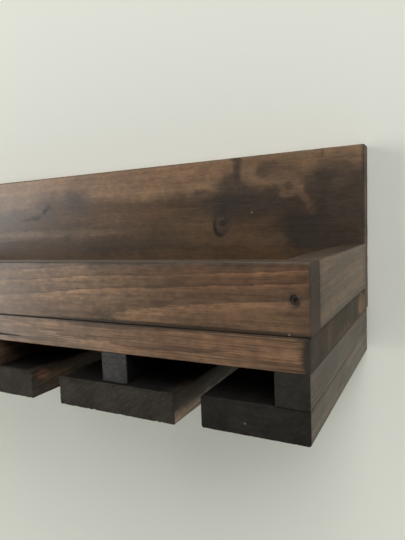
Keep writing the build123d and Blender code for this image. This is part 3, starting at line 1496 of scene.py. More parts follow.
@dataclass
class Fasteners:
    """The rack's screws, placed from the boards that they join.

    Args:
        wood: The wood screw, as long as it is through slat, spacer and shelf.
        trim: The small-headed screw in the front rail's face.
        plate: The hanger plates' screw.
        rail_length: How long the wood screws up into the rails are.
        back_length: How long those through the back board are.
        sink: How far a wood screw's head is below the wood's face.
        trim_sink: How far a trim screw's is.
        slat_inset: From the shelf's front and back edges to the slat screws.
        side_inset: From a side rail's ends to its screws.
        trim_inset: From the front rail's ends to the trim screws.
    """

    wood: WoodScrew = WoodScrew(4.1 * MM, 2.1 * MM, 49.75 * MM)
    trim: WoodScrew = WoodScrew(2.4 * MM, 1.6 * MM, 43.85 * MM, Drive.SQUARE, 1.8 * MM)
    plate: WoodScrew = WoodScrew(3.3 * MM, 1.75 * MM, 15.05 * MM, pitch=1.4 * MM)
    rail_length: float = 37.65 * MM
    back_length: float = 49.65 * MM
    sink: float = 0.4 * MM
    trim_sink: float = 1.2 * MM
    slat_inset: float = 32 * MM
    side_inset: float = 55 * MM
    trim_inset: float = 8 * MM

    def spacer_xs(self) -> list[float]:
        """Gives the X of each spacer's centre."""
        boxes = [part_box(f"spacer_{number}") for number in range(1, 7)]
        return [(low.x + high.x) / 2 for low, high in boxes]

    def channel_xs(self) -> list[float]:
        """Gives the X of each channel's centre."""
        xs = self.spacer_xs()
        return [(left + right) / 2 for left, right in zip(xs, xs[1:])]

    def side_rail_centres(self) -> list[Vector]:
        """Gives the centres of the side rails."""
        return [middle(f"side_rail_{side}") for side in ("left", "right")]

    def rows(self, node: str, inset: float) -> tuple[float, float]:
        """Gives the Y of two rows of screws, set in from a board's front and back."""
        low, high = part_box(node)
        return low.y + inset, high.y - inset

    def wood_screws(self, node: str, length: float, points: Vector, heads: list[Point]) -> ScrewSet:
        """Gives wood screws of one length, which point one way."""
        screw = replace(self.wood, length=length)
        return ScrewSet(node, "wood_screw_steel", screw, self.sink, points, heads)

    def slat_screws(self) -> ScrewSet:
        """Gives the screws up through each slat and spacer into the shelf.

        Returns:
            The screws, two in each slat, from the left.
        """
        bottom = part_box("end_slat_left")[0].z
        rows = self.rows("shelf_board", self.slat_inset)
        heads = [(x, y, bottom + self.sink) for x in self.spacer_xs() for y in rows]
        return self.wood_screws("slat_screws", self.wood.length, UP, heads)

    def rail_screws(self) -> ScrewSet:
        """Gives the screws in the channels' ceilings, up into the front rail.

        Returns:
            The screws, from the left.
        """
        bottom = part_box("shelf_board")[0].z
        heads = [(x, middle("front_rail").y, bottom + self.sink) for x in self.channel_xs()]
        return self.wood_screws("rail_screws", self.rail_length, UP, heads)

    def side_rail_screws(self) -> ScrewSet:
        """Gives the screws up into the side rails, behind the end spacers.

        Returns:
            The screws, two in each side rail.
        """
        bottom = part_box("shelf_board")[0].z
        rows = self.rows("side_rail_right", self.side_inset)
        heads = [(c.x, y, bottom + self.sink) for c in self.side_rail_centres() for y in rows]
        return self.wood_screws("side_rail_screws", self.rail_length, UP, heads)

    def back_board_screws(self) -> ScrewSet:
        """Gives the screws from behind.

        Returns:
            Those into the shelf, from the left, then those into the side rails.
        """
        heads = [(x, -self.sink, middle("shelf_board").z) for x in self.channel_xs()]
        heads += [(c.x, -self.sink, c.z) for c in self.side_rail_centres()]
        return self.wood_screws("back_board_screws", self.back_length, OUT, heads)

    def trim_screws(self) -> ScrewSet:
        """Gives the small-headed screws through the front rail's face.

        Returns:
            The left one, then the right one.
        """
        low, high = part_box("front_rail")
        xs = (low.x + self.trim_inset, high.x - self.trim_inset)
        heads = [(x, low.y + self.trim_sink, middle("front_rail").z) for x in xs]
        return ScrewSet("front_rail_screws", "trim_screw_steel", self.trim, self.trim_sink, IN, heads)

    def plate_screws(self, plates: list[HangerPlate]) -> ScrewSet:
        """Gives the short screws in the hanger plates.

        Args:
            plates: The plates.

        Returns:
            The screws, two for each plate in turn.
        """
        heads = [head for plate in plates for head in plate.screw_heads()]
        return ScrewSet("keyhole_plate_screws", "wood_screw_steel", self.plate, 0.0, OUT, heads)


ZINC = SteelFinish("zinc_plated_steel", (0.56, 0.53, 0.46), (0.36, 0.34, 0.3))
BLACK_STEEL = SteelFinish("blackened_steel", (0.17, 0.128, 0.105), (0.05, 0.036, 0.029), 0.3)

FACE_STAIN = Stain(
    early=(0.152, 0.09, 0.048), end=(0.046, 0.0295, 0.018), worn=(0.12, 0.075, 0.045),
    late=(1.64, 1.62, 1.62), roughness=0.34, cloud=0.17, mottle=0.23, streak=0.08, wear=0.12,
)
EDGE_STAIN = Stain(
    early=(0.162, 0.094, 0.05), end=(0.043, 0.0275, 0.014), worn=(0.26, 0.16, 0.09),
    dark=(0.03, 0.017, 0.009), late=(1.6, 1.6, 1.65), roughness=0.36, streak=0.14, hair=0.7, chatter=0.1,
    wear=0.4, soak=6.0,
)
# The back board's stain. Its end colour, lighter than its face, is painted light on the end grain.
BACK_STAIN_AND_LIT_END = Stain(
    early=(0.078, 0.0455, 0.022), end=(0.1, 0.07, 0.048), worn=(0.07, 0.045, 0.03),
    late=(1.14, 1.14, 1.14), ringed=0.07, roughness=0.36, gloss=0.34, cloud=0.2, mottle=0.13, streak=0.04,
    hair=0.06, wear=0.2,
)
SIDE_STAIN = Stain(
    early=(0.127, 0.077, 0.04), end=(0.05, 0.036, 0.025), worn=(0.08, 0.055, 0.035),
    late=(1.5, 1.5, 1.5), gloss=0.15, band=0.24, wear=0.1,
)
SLAT_STAIN = Stain(
    early=(0.066, 0.043, 0.026), end=(0.0148, 0.0129, 0.0105), worn=(0.08, 0.055, 0.035),
    late=(1.6, 1.6, 1.6), gloss=0.12, cloud=0.3, band=0.24, wear=0.2,
)
MID_SLAT_STAIN = replace(SLAT_STAIN, end=(0.0275, 0.023, 0.0175))
# The inner spacers' end colour is a pale blue-grey: a painted reflection of the wall on their end grain.
SPACER_STAIN_AND_REFLECTION = replace(SLAT_STAIN, end=(0.0415, 0.0405, 0.0385), cloud=0.15)
END_SPACER_STAIN = replace(SLAT_STAIN, end=(0.0195, 0.018, 0.0145))

TAN = (0.238, 0.145, 0.078)
RUBBED = (0.1, 0.068, 0.044)
DARK = (0.037, 0.0265, 0.0185)
DARKEST = (0.027, 0.02, 0.015)
SHADE = (0.022, 0.016, 0.0105)
CREVICE = (0.022, 0.014, 0.009)
# Painted shade on patches of the shelf's right end.
SHELF_END_SHADE = (0.02, 0.014, 0.009)
# Near black: painted shade on the slats' tops, on the channels' sides and in the shelf's crack; also the
# colour of the faint lines on the inner spacers' ends.
SHADE_AND_LINE_BLACK = (0.0045, 0.0042, 0.0038)
LINT = (0.24, 0.22, 0.19)

# Patches of stain on the back board's face, in the order they are laid. Each row has its centre's X
# and Z and its half sizes along them, and then a pool's colour, strength, softness, wobble and dullness.
BACK_PATCHES = (
    # Broad bands: tan along the top, pale and dark ones below it. The last, a dark band low on the board
    # just above the rails, is painted shade.
    (70, 60, 120, 16, (0.18, 0.1, 0.052), 0.45),
    (235, 63, 85, 9, (0.155, 0.094, 0.052), 0.7),
    (-75, 45, 70, 10, (0.13, 0.086, 0.054), 0.5),
    (28, 26, 78, 12, (0.143, 0.077, 0.035), 0.6, 0.6),
    (-75, 4, 95, 4.5, (0.2, 0.13, 0.075), 0.6, 0.7, 0.45),
    (40, -11, 90, 8, (0.04, 0.027, 0.017), 0.6),
    # The dark right end, and the dark branch that comes down from the top edge.
    (278, 26, 29, 35, DARK, 0.85),
    (256, 42, 13, 13, DARK, 0.8),
    (192, 26, 52, 13, DARK, 0.85),
    (243, 2, 24, 17, DARKEST, 0.85),
    (266, -12, 40, 12, DARKEST, 0.85),
    (222, 50, 26, 10, (0.085, 0.055, 0.034), 0.65),
    (180, 69, 4.4, 3, DARK, 0.75, 0.7, 0.4),
    (182, 58, 3.2, 13, DARK, 0.8, 0.8, 0.4),
    (177, 43, 20, 12, DARK, 0.85, 0.6, 1.0),
    (148, 37, 18, 5, DARK, 0.55),
    (208, 52, 7, 6, DARK, 0.5, 0.7, 1.0),
    (217, 61, 8, 4, DARK, 0.45, 0.7, 1.0),
    (262, 67, 1.3, 4, DARK, 0.5, 0.6, 0.3),
    # The tan tongue that runs down into the dark end, and the dark spot in its bend.
    (222, 43, 5, 5, (0.14, 0.084, 0.047), 0.7, 0.5, 0.6),
    (233, 47, 6.5, 5, (0.15, 0.088, 0.05), 0.75, 0.5, 0.6),
    (231, 33.5, 8.5, 3.4, (0.155, 0.09, 0.052), 0.8, 0.4, 0.45),
    (241, 38, 3.6, 7, (0.155, 0.09, 0.052), 0.8, 0.45, 0.45),
    (244.5, 30, 3.6, 4.6, (0.145, 0.082, 0.047), 0.75, 0.5, 0.6),
    (248.5, 23.5, 3.4, 4.4, (0.125, 0.072, 0.043), 0.7, 0.5, 0.6),
    (252.5, 17.5, 3.4, 3.8, (0.1, 0.06, 0.037), 0.65, 0.6, 0.6),
    (232, 40, 4.6, 3.6, (0.055, 0.038, 0.025), 0.7, 0.5, 0.4),
    # Warmer spots beside and below the knot.
    (207, -6, 17, 12, (0.08, 0.05, 0.027), 0.65),
    (166, -6, 14, 9, (0.088, 0.054, 0.03), 0.6),
    (120, 6, 34, 12, (0.085, 0.053, 0.028), 0.45),
    # Two soft shadows left of the middle, with small dark marks that trail from them.
    (-20, 42, 18, 10, (0.042, 0.028, 0.022), 0.78, 0.8, 0.6, 0.05),
    (-25, 33, 4, 3, DARK, 0.55, 0.5, 0.3),
    (-34, 28, 5, 1.6, DARK, 0.5, 0.5, 0.3),
    (-62, 38, 21, 12, (0.058, 0.04, 0.029), 0.65, 0.8, 0.6, 0.04),
    (-61, 37.5, 4, 3.4, DARKEST, 0.7, 0.9, 0.5, 0.1),
    (-66, 33.5, 2.6, 2.2, CREVICE, 0.75, 0.9, 0.4, 0.12),
    (-70, 30.5, 3.4, 3.2, CREVICE, 0.8, 0.9, 0.5, 0.15),
    (-84, 24.5, 6.5, 3, CREVICE, 0.75, 0.9, 0.5, 0.13),
    (-97, 22.5, 11, 1.6, DARKEST, 0.6, 0.8, 0.2, 0.08),
    # Two patches towards the left end, and the shadow above the knot.
    (-210, -20, 50, 16, DARK, 0.7),
    (-170, 48, 30, 10, DARK, 0.5),
    (167, 26, 5, 4.5, DARKEST, 0.6, 0.5, 0.5),
)


@dataclass
class BackBoard:
    """The tall board on the wall, with its hanger plates and the screws that come from behind.

    Args:
        fasteners: The rack's screws.
        face: Where its front face is across its thickness, in millimetres from its centre.
        reach: How far a patch on its face reaches into the wood, in millimetres.
        tan_start: The heights where the tan of its upper part starts and is full, in millimetres.
    """

    fasteners: Fasteners
    face: float = -9.5
    reach: float = 8.0
    tan_start: tuple[float, float] = (30.0, 47.0)

    def patches(self) -> tuple[Pool, ...]:
        """Gives the patches of stain on its face.

        Returns:
            The patches, in the order they are laid.
        """
        return tuple(
            Pool((x, self.face, z), (half_x, self.reach, half_z), *look)
            for x, z, half_x, half_z, *look in BACK_PATCHES
        )

    def finish(self) -> WoodFinish:
        """Gives the board's wood.

        Returns:
            Its finish: tan along its top, dark below, with its patches and knots.
        """
        knots = (
            Knot((161.5, self.face, 7.5), (8, 30, 11)),
            Knot((-232, self.face, -22), (9, 30, 8)),
        )
        marks = (
            Pool((295, self.face, 10), (2.4, 2.4, 66), (0.03, 0.022, 0.016), 0.7, 0.5, 0.1, dull=0.3),
            Pool((0, self.face, 69.85), (400, 3, 1.3), (0.045, 0.032, 0.021), 0.65, 0.4, 0.06, dull=0.3),
            Pool((195, self.face, 18), (0.9, 2, 0.9), LINT, 0.8, 0.6, 0.0),
        )
        figure = Figure(pith=(0, 60, -30), drift=(0, 0.02, 0.01), spacing=4.6, wander=3.5, seed=3.0)
        return WoodFinish(BACK_STAIN_AND_LIT_END, figure, self.patches(), knots, (TAN, *self.tan_start), marks)

    def build(self) -> None:
        """Builds the board, its plates and its screws."""
        plates = [HangerPlate(f"keyhole_plate_{side}") for side in ("left", "right")]
        plate_screws = self.fasteners.plate_screws(plates)
        rear_screws = self.fasteners.back_board_screws()
        cutters = rear_screws.holes()
        for plate in plates:
            cutters += plate.mortise()
        Board("back_board", Grain.ALONG_SHELF, "back_wood", self.finish(), cutters=cutters).build()
        holes = plate_screws.holes()
        for plate, own in zip(plates, (holes[:2], holes[2:])):
            plate.build(own, ZINC)
        plate_screws.build(ZINC)
        rear_screws.build(ZINC)


@dataclass
class Tray:
    """The shelf with the rails that stand round it.

    Args:
        fasteners: The rack's screws.
        shelf_round: The radius of the shelf's long edges.
        shelf_tear: How ragged its end edges are.
        rail_round: The radius of the front rail's long edges.
        tear_radii: The half sizes of the torn hollow round a trim screw.
        tear_tilt: How far that hollow leans, in radians.
        crack_centre: The centre of the crack in the shelf's front edge.
        crack_radii: Its half sizes.
        trim_x: How far the trim screws are from the front rail's middle, in millimetres.
        edge: Where the shelf's front edge is across its grain, in millimetres from its centre.
        right_end: Where its right end is along its grain.
        face: Where a rail's face is across its thickness, in millimetres from its centre.
    """

    STRAY: ClassVar[float] = 0.22  # how far a hollow's outline strays, as a share of its size
    LUMPS: ClassVar[float] = 1.7  # how many lumps that outline has in its half size

    fasteners: Fasteners
    shelf_round: float = 0.8 * MM
    shelf_tear: float = 0.35 * MM
    rail_round: float = 1.1 * MM
    tear_radii: Point = (2.3 * MM, 0.5 * MM, 3.5 * MM)
    tear_tilt: float = 0.35
    crack_centre: Point = (66 * MM, -203.2 * MM, -64.9 * MM)
    crack_radii: Point = (26 * MM, 1.6 * MM, 0.7 * MM)
    trim_x: float = 288.3
    edge: float = -92.0
    right_end: float = 296.0
    face: float = -9.5

    def dish(self, centre: Point, radii: Point, tilt: float = 0.0) -> bpy.types.Mesh:
        """Makes the cutter of a shallow, uneven hollow.

        Args:
            centre: Its centre.
            radii: Its half sizes.
            tilt: How far it leans to the side, in radians.

        Returns:
            The cutter.
        """
        bm = bmesh.new()
        bmesh.ops.create_icosphere(bm, subdivisions=4, radius=1)
        for vert in bm.verts:
            vert.co *= 1 + self.STRAY * noise.noise(vert.co * self.LUMPS)
        turn = Matrix.Rotation(tilt, 4, "Y") @ Matrix.Diagonal((*radii, 1))
        return to_mesh("hollow", moved(bm, Matrix.Translation(centre) @ turn))

    def shelf_end_marks(self) -> tuple[Pool, ...]:
        """Gives the marks on the shelf's right end.

        Returns:
            The marks: a worn patch at the back, rubbed spots, and shadows between them.
        """
        return tuple(
            Pool((self.right_end, y, z), (3, half_y, half_z), *look)
            for y, z, half_y, half_z, *look in (
                (-90, 0, 5, 13, SHELF_END_SHADE, 0.7, 0.4, 0.3),
                (78, -1.5, 22, 9.5, (0.2, 0.115, 0.065), 0.85, 0.25, 0.7),
                (8, -7, 24, 4, RUBBED, 0.65, 0.7, 1.0),
                (30, 0, 3.5, 12, RUBBED, 0.55, 0.8, 0.6),
                (-46, -3, 6, 9, RUBBED, 0.6, 0.8, 0.8),
                (-84, 0, 8, 14, (0.026, 0.0205, 0.0145), 0.5, 0.7, 0.8),
                (-66, -3, 5, 11, SHELF_END_SHADE, 0.6, 0.8, 0.8),
                (-18, 2, 12, 7, SHADE, 0.6, 0.8, 1.0),
                (17, 3, 5, 8, SHADE, 0.6, 0.8, 0.8),
                (46, -2, 9, 9, (0.022, 0.016, 0.011), 0.6, 0.7, 1.0),
            )
        )

    def shelf_wood(self) -> WoodFinish:
        """Gives the shelf's wood.

        Returns:
            Its finish: warm at the right of its front edge and pale at the left, with a dark joint line and
                painted
            shade in the groove under the rail, a dark corner, and a crack darkened inside with painted shade.
        """
        pools = (
            Pool((245, self.edge, -2), (80, 12, 12), (0.136, 0.067, 0.032), 0.55, 0.9),
            Pool((50, self.edge, -4), (72, 12, 7), (0.25, 0.178, 0.122), 0.5, 0.8),
            Pool((135, self.edge, -2), (44, 12, 14), (0.21, 0.132, 0.076), 0.55, 0.8),
        )
        marks = (
            # The dark joint line along the top front edge, with painted shade in the groove under the front
            # rail.
            Pool((0, -92.1, 9.5), (340, 1.5, 0.8), (0.03, 0.02, 0.012), 0.75, 0.5, 0.06),
            Pool((215, -92.1, 9.6), (112, 1.6, 1.5), (0.024, 0.014, 0.007), 0.85, 0.4, 0.06),
            Pool((295.2, -92.1, 0), (3.4, 3, 13), (0.013, 0.0095, 0.0065), 0.8, 0.45, 0.3),
            # Painted shade, near black, inside the crack in the front edge.
            Pool((66, -92.1, -4.6), (26, 3, 0.7), SHADE_AND_LINE_BLACK, 0.8, 0.5, 0.03),
            *self.shelf_end_marks(),
        )
        figure = Figure(pith=(0, 160, -55), drift=(0, 0.01, 0.004), spacing=2.6, wander=1.6, seed=7.0)
        return WoodFinish(EDGE_STAIN, figure, pools, marks=marks)

    def screw_shadows(self) -> tuple[Pool, ...]:
        """Gives the dark, soft patches at the trim screws: stain gathered round them, and painted shade over
        the walls of their holes.

        Returns:
            Three patches at each screw.
        """
        patches = ((0, 0, 3.6, 0.5), (-0.7, 1.4, 2.1, 0.9), (0.6, -1.5, 2.1, 0.9))
        look = {"softness": 0.4, "wobble": 0.06, "dull": 0.15}
        return tuple(
            Pool((screw_x + x, -8, z), (radius, 7, radius), (0.02, 0.0125, 0.0088), strength, **look)
            for screw_x in (-self.trim_x, self.trim_x)
            for x, z, radius, strength in patches
        )

    def rail_wood(self) -> WoodFinish:
        """Gives the front rail's wood.

        Returns:
            Its finish: arches that open to the right from its lower edge, darker to the right, with dark
                joint
            lines and painted shade in the groove at the shelf, painted shade along its top front edge, and a
            grey top face darkened with painted shade.
        """
        pools = (
            Pool((275, self.face, 0), (90, 20, 60), (0.088, 0.047, 0.0235), 0.75, 0.6),
            Pool((255, self.face, -10), (60, 8, 6), (0.115, 0.062, 0.031), 0.4, 0.5, 0.5),
            Pool((240, self.face, 18), (90, 6, 3.2), (0.045, 0.029, 0.019), 0.7, 0.5, 0.3),
            Pool((40, self.face, 17.5), (90, 6, 3), (0.07, 0.05, 0.035), 0.5, 0.5, 0.3),
            Pool((262, self.face, 11), (50, 6, 5), (0.138, 0.064, 0.03), 0.5, 0.6, 0.6),
            Pool((294, self.face, -7), (9, 6, 14), (0.055, 0.034, 0.02), 0.5, 0.6, 0.5),
        )
        marks = (
            # Dark joint lines along the lower edge, with painted shade in the groove where the rail meets the
            # shelf.
            Pool((0, -9.6, -19), (340, 2.2, 1), (0.018, 0.012, 0.007), 0.9, 0.35, 0.06),
            Pool((215, -9.6, -18.9), (112, 2.4, 2.3), (0.021, 0.011, 0.0045), 0.95, 0.3, 0.05),
            # Painted shade along the top front edge, so that its rounding shows no light line.
            Pool((0, -9.6, 19), (340, 2.2, 1.4), (0.05, 0.035, 0.025), 0.5, 0.5, 0.06, dull=0.05),
            Pool((132, -9.6, 15.2), (36, 6, 2.8), (0.14, 0.09, 0.055), 0.6, 0.7, 0.3),
            # Painted shade over the whole top face, darker than the stain on the front.
            Pool((0, 0, 19.05), (340, 14, 1.2), (0.022, 0.0135, 0.0078), 0.9, 0.4, 0.06, dull=-0.04),
            *self.screw_shadows(),
            Pool((285, self.face, -18), (0.5, 2, 0.5), LINT, 0.6, 0.5, 0.0),
        )
        figure = Figure(pith=(0, 33.5, -14.9), drift=(0, -0.03, 0), spacing=4.0, phase=0.6, wander=0.8,
                        uneven=0.0, seed=1.0)
        return WoodFinish(FACE_STAIN, figure, pools, marks=marks)

    def side_rail_wood(self, number: int) -> WoodFinish:
        """Gives a side rail's wood.

        Args:
            number: 0 for the left one, 1 for the right one.

        Returns:
            Its finish: dusky at its ends and along its foot, on both faces, with a top face darkened by
                painted shade.
        """
        dusk = tuple(
            Pool((x, y, z), half_sizes, (0.05, 0.034, 0.021), 0.6, 0.7, 0.3)
            for y in (self.face, -self.face)
            for x, z, half_sizes in ((84, 0, (16, 8, 40)), (0, -18.5, (120, 8, 4.5)), (-85, -6, (9, 8, 40)))
        )
        # Painted shade over the whole top face.
        top = Pool((0, 0, 19.05), (120, 14, 1.1), (0.028, 0.02, 0.0135), 0.9, 0.4, 0.04, dull=0.1)
        figure = Figure(pith=(0, 30, 22), drift=(0, 0.02, 0), spacing=2.9, wander=1.5, seed=11.0 + number)
        return WoodFinish(SIDE_STAIN, figure, (*dusk, top))

    def build(self) -> None:
        """Builds the shelf, the rails and their screws."""
        rails, trim = self.fasteners.rail_screws(), self.fasteners.trim_screws()
        crack = self.dish(self.crack_centre, self.crack_radii)
        Board("shelf_board", Grain.ALONG_SHELF, "tray_wood", self.shelf_wood(), edge_round=self.shelf_round,
              tear=self.shelf_tear, cutters=[crack] + rails.holes()).build()
        faces = [Vector(head) - Vector((0, self.fasteners.trim_sink, 0)) for head in trim.heads]
        tears = [self.dish(face, self.tear_radii, self.tear_tilt) for face in faces]
        Board("front_rail", Grain.ALONG_SHELF, "tray_wood", self.rail_wood(), edge_round=self.rail_round,
              cutters=trim.holes() + tears).build()
        for number, side in enumerate(("left", "right")):
            Board(f"side_rail_{side}", Grain.TO_WALL, "tray_wood", self.side_rail_wood(number)).build()
        rails.build(ZINC)
        self.fasteners.side_rail_screws().build(ZINC)
        trim.build(BLACK_STEEL)


@dataclass(frozen=True)
class SlatEdges:
    """How a slat's edges are worked.

    Args:
        edge_round: The radius of its long edges.
        nick: How deep they are nicked.
        tear: How ragged its end edges are.
    """

    edge_round: float
    nick: float
    tear: float


@dataclass
class GlassSlats:
    """The T-shaped slats that glasses hang from: spacers, slats and their screws.

    Args:
        fasteners: The rack's screws.
        face: How far a board's faces are from its centre, in millimetres.
        front: Where its front end is along its grain, in millimetres from its centre.
        mid_side: Where a middle slat's right side is across its grain.
        end_side: Where an end slat's is.
        slat_saw: How strong the saw marks on each slat's end are, from the left.
        spacer_saw: How strong they are on a spacer's end.
        spacer_round: The radius of a spacer's long edges.
        mid_edges: The middle slats' edges.
        end_edges: The end slats' edges.
    """

    fasteners: Fasteners
    face: float = 9.5
    front: float = -98.4
    mid_side: float = -44.5
    end_side: float = -31.75
    slat_saw: tuple[float, ...] = (0.15, 0.55, 0.35, 0.25, 0.55, 0.15)
    spacer_saw: float = 0.2
    spacer_round: float = 0.6 * MM
    mid_edges: SlatEdges = SlatEdges(0.8 * MM, 0.2 * MM, 0.5 * MM)
    end_edges: SlatEdges = SlatEdges(1.4 * MM, 0.08 * MM, 0.15 * MM)

    def slat_pools(self, name: str) -> tuple[Pool, ...]:
        """Gives a slat's patches.

        Args:
            name: The slat's node.

        Returns:
            Its patches: painted shade, near black, on top near the front, and the colours of its right side.
        """
        inward = {"end_slat_left": -22, "end_slat_right": 22}.get(name, 0)
        # Painted shade, near black, on the top near the front, where the channels between the slats are dark.
        channel_shade = Pool((-90, inward, self.face), (105, 50, 2.4), SHADE_AND_LINE_BLACK, 1.0, 0.3, 0.1, dull=0.3)
        if name.startswith("end"):
            return channel_shade, Pool((-50, self.end_side, 0), (150, 5, 20), (0.108, 0.073, 0.048), 0.6, 0.5, 0.4)
        if name == "mid_slat_3":
            return (
                channel_shade,
                Pool((-40, self.mid_side, 0), (150, 6, 20), (0.03, 0.023, 0.017), 0.85, 0.4, 0.4),
                # Painted light: two pale orange patches near the front of its right side.
                Pool((-91, self.mid_side, 5), (7, 6, 3.4), (0.17, 0.078, 0.045), 0.8, 0.6, 0.4),
                Pool((-75, self.mid_side, 1.5), (11, 6, 4.5), (0.1, 0.063, 0.037), 0.7, 0.7, 0.5),
            )
        return (
            channel_shade,
            Pool((-70, self.mid_side, 3), (70, 6, 9), (0.03, 0.022, 0.016), 0.6, 0.5, 0.4),
            Pool((-72, self.mid_side, -7), (55, 6, 4.5), (0.26, 0.185, 0.12), 0.8, 0.45, 0.5),
        )

    def slat_marks(self, name: str) -> tuple[Pool, ...]:
        """Gives what lies over a slat's end grain.

        Args:
            name: The slat's node.

        Returns:
            Its marks, if it has any.
        """
        return {
            "mid_slat_3": (Pool((self.front, 0, 0), (3, 60, 20), (0.037, 0.031, 0.025), 0.7, 0.5, 0.3),),
            "end_slat_right": (Pool((self.front, 4.5, -2.6), (2, 0.45, 0.45), LINT, 0.6, 0.6, 0.0),),
        }.get(name, ())

    def slat_wood(self, number: int, name: str) -> WoodFinish:
        """Gives a slat's wood.

        Args:
            number: Its number from the left, from 0.
            name: Its node.

        Returns:
            Its finish.
        """
        figure = Figure(pith=(0, 30 - 17 * (number % 3), 34), drift=(0, 0.03, 0.02), spacing=3.4,
                        wander=2.0, seed=21.0 + 3 * number)
        stain = MID_SLAT_STAIN if name.startswith("mid") else SLAT_STAIN
        pools, marks = self.slat_pools(name), self.slat_marks(name)
        return WoodFinish(stain, figure, pools, marks=marks, saw=self.slat_saw[number])

    def spacer_wood(self, number: int) -> WoodFinish:
        """Gives a spacer's wood.

        Args:
            number: Its number from the left, from 0.

        Returns:
            Its finish: painted shade, near black, towards the front on the sides that face the channels,
            with two faint level lines on the ends of the inner ones.
        """
        outermost = number in (0, 5)
        sides = {0: (-1,), 3: (1,), 5: (1,)}.get(number, (-1, 1))
        # Painted shade, near black, towards the front of the sides that face the channels.
        pools = [
            Pool((-90, side * self.face, 0), (105, 3, 60), SHADE_AND_LINE_BLACK, 1.0, 0.4, 0.1, dull=0.3) for side in sides
        ]
        marks = ()
        if outermost:
            outer = self.face if number == 0 else -self.face
            pools.append(Pool((45, outer, -4), (80, 4, 8), (0.042, 0.028, 0.017), 0.45, 0.6, 0.5))
        else:
            heights = (z + 0.4 * (number % 3) for z in (2.2, 6.4))
            marks = tuple(Pool((self.front, 0, z), (3, 30, 0.3), SHADE_AND_LINE_BLACK, 0.35, 0.6, 0.12) for z in heights)
        figure = Figure(pith=(0, 25, 30), drift=(0, 0.02, 0), spacing=2.4, wander=1.0, seed=51.0 + number)
        stain = END_SPACER_STAIN if outermost else SPACER_STAIN_AND_REFLECTION
        return WoodFinish(stain, figure, tuple(pools), marks=marks, saw=self.spacer_saw)

    def build(self) -> None:
        """Builds the spacers, the slats and their screws."""
        screws = self.fasteners.slat_screws()
        holes = screws.holes()
        names = ["end_slat_left", *[f"mid_slat_{n}" for n in range(1, 5)], "end_slat_right"]
        for number, name in enumerate(names):
            edges = self.mid_edges if name.startswith("mid") else self.end_edges
            own = holes[2 * number:2 * number + 2]
            Board(name, Grain.TO_WALL, "slat_wood", self.slat_wood(number, name), cutters=own,
                  edge_round=edges.edge_round, nick=edges.nick, tear=edges.tear).build()
            Board(f"spacer_{number + 1}", Grain.TO_WALL, "slat_wood", self.spacer_wood(number),
                  edge_round=self.spacer_round).build()
        screws.build(ZINC)


# The studio


@dataclass(frozen=True)
class PhotoCamera:
    """The camera at the photograph's viewing angle.

    Args:
        place: Where it is, in metres.
        yaw: Its turn to the left, in degrees.
        pitch: Its turn upwards.
        roll: Its turn about the way it looks.
        lens: Its focal length in millimetres.
    """

    place: Point = (0.3538, -0.4277, 0.0072)
    yaw: float = 27.537
    pitch: float = -5.449
    roll: float = 2.215
    lens: float = 30.856

    def build(self) -> None:
        """Makes the camera the scene's own."""
        camera = link("camera", bpy.data.cameras.new("camera"))
        turns = (math.radians(turn) for turn in (self.pitch, self.roll, self.yaw))
        look = Euler(tuple(turns), "YXZ").to_matrix() @ Matrix.Rotation(math.pi / 2, 3, "X")
        camera.matrix_world = Matrix.Translation(self.place) @ look.to_4x4()
        camera.data.lens = self.lens
        camera.data.clip_start = 0.01
        bpy.context.scene.camera = camera


@dataclass(frozen=True)
class Lamp:
    """A rectangular lamp.

    Args:
        name: Its name.
        place: Where it is.
        aim: The point that it faces.
        size: Its width and height.
        power: Its power in watts.
    """

    name: str
    place: Point
    aim: Point
    size: tuple[float, float]
    power: float

    def build(self) -> None:
        """Hangs the lamp."""
        data = bpy.data.lights.new(self.name, "AREA")
        data.shape, data.size, data.size_y = "RECTANGLE", *self.size
        data.energy = self.power
        turn = (Vector(self.aim) - Vector(self.place)).to_track_quat("-Z", "Y").to_matrix().to_4x4()
        link(self.name, data).matrix_world = Matrix.Translation(self.place) @ turn


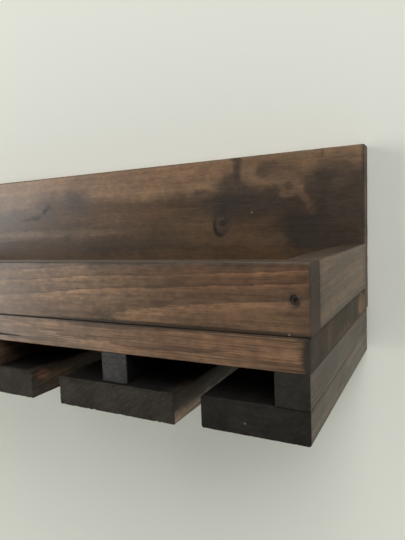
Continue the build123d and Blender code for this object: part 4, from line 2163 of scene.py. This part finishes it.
@dataclass
class Studio:
    """A pale wall and floor, a large window-like lamp from the left and soft fill light.

    Args:
        wall_colour: The wall's colour.
        floor_colour: The floor's colour.
        matt: How rough both are.
        wall_gap: How far the wall is behind the rack's rear.
        floor_height: The floor's Z.
        half_width: Half the width of wall and floor.
        wall_top: The Z of the wall's top.
        contact: How near the wall a ray starts that passes through it, so that the rear stays lit.
        air_colour: The colour of the light from all round.
        air_strength: Its strength on the rack.
        backdrop_strength: Its strength where the camera, gloss or glass shows it.
        lamps: The lamps.
    """

    wall_colour: Colour = (0.742, 0.75, 0.674)
    floor_colour: Colour = (0.6, 0.6, 0.57)
    matt: float = 0.85
    wall_gap: float = 0.6 * MM
    floor_height: float = -1.0
    half_width: float = 4.0
    wall_top: float = 3.0
    contact: float = 8 * MM
    air_colour: Colour = (0.95, 0.98, 1.0)
    air_strength: float = 0.15
    backdrop_strength: float = 0.4
    lamps: tuple[Lamp, ...] = (
        Lamp("window", (-3.3, -1.7, 0.3), (0.1, -0.1, 0.0), (1.7, 2.4), 85),
        Lamp("ceiling", (1.1, -1.5, 2.1), (0.1, -0.1, 0.0), (2.2, 2.2), 72),
        Lamp("rear", (-0.5, 1.6, 0.7), (0.0, 0.0, 0.0), (1.6, 1.2), 30),
    )

    def sheet(
        self, name: str, size: tuple[float, float], matrix: Matrix, material: bpy.types.Material
    ) -> None:
        """Lays a flat backdrop.

        Args:
            name: Its name.
            size: Half its width and length.
            matrix: Where it is and how it is turned.
            material: Its material.
        """
        bm = bmesh.new()
        shape = matrix @ Matrix.Diagonal((*size, 1, 1))
        bmesh.ops.create_grid(bm, x_segments=1, y_segments=1, size=1, matrix=shape)
        mesh = bpy.data.meshes.new(name)
        bm.to_mesh(mesh)
        bm.free()
        mesh.materials.append(material)
        link(name, mesh)

    def paint(self, title: str, colour: Colour, one_sided: bool) -> bpy.types.Material:
        """Makes a backdrop's material.

        Args:
            title: Its name.
            colour: Its colour.
            one_sided: Whether it is clear from behind, and to rays that start just in front of it,
                so that the rack's rear is seen and lit from behind.

        Returns:
            The material.
        """
        material = bpy.data.materials.new(title)
        net = Net.of(material)
        shader = net.fill(net.tree.nodes["Principled BSDF"], Base_Color=colour, Roughness=self.matt)
        if one_sided:
            path = net.add("LightPath").outputs
            near = net.math("LESS_THAN", path["Ray Length"], self.contact)
            near = net.times(near, net.minus(1.0, path["Is Camera Ray"]))
            behind = net.add("NewGeometry").outputs["Backfacing"]
            clear = net.add("BsdfTransparent").outputs[0]
            share = net.math("MAXIMUM", behind, near)
            mix = net.fill(net.add("MixShader"), share, shader.outputs[0], clear)
            net.fill(net.tree.nodes["Material Output"], Surface=mix.outputs[0])
        return material

    def air(self) -> None:
        """Sets the light from all round, and its paler strength behind everything."""
        world = bpy.data.worlds.new("air")
        bpy.context.scene.world = world
        net = Net.of(world)
        path = net.add("LightPath").outputs
        seen = net.plus(path["Is Camera Ray"], path["Is Glossy Ray"])
        seen = net.math("ADD", seen, path["Is Transmission Ray"], clamp=True)
        strength = net.smooth(seen, 0.0, 1.0, self.air_strength, self.backdrop_strength)
        net.fill(net.tree.nodes["Background"], Color=self.air_colour, Strength=strength)

    def build(self) -> None:
        """Builds the backdrops, the lamps and the world."""
        wall_middle = (self.wall_top + self.floor_height) / 2
        upright = Matrix.Translation((0, self.wall_gap, wall_middle)) @ Matrix.Rotation(math.pi / 2, 4, "X")
        tall = (self.wall_top - self.floor_height) / 2
        self.sheet("wall", (self.half_width, tall), upright, self.paint("wall_paint", self.wall_colour, True))
        level = Matrix.Translation((0, 0, self.floor_height))
        floor_paint = self.paint("floor_paint", self.floor_colour, False)
        self.sheet("floor", (self.half_width, self.half_width), level, floor_paint)
        for lamp in self.lamps:
            lamp.build()
        self.air()


def main() -> None:
    """Builds the rack's looks and the studio, in order."""
    logging.basicConfig(level=logging.INFO, format="%(name)s: %(message)s")
    PhotoCamera().build()
    fasteners = Fasteners()
    BackBoard(fasteners).build()
    Tray(fasteners).build()
    GlassSlats(fasteners).build()
    Studio().build()
    bpy.context.scene.view_settings.view_transform = "Standard"


if __name__ == "__main__":
    main()
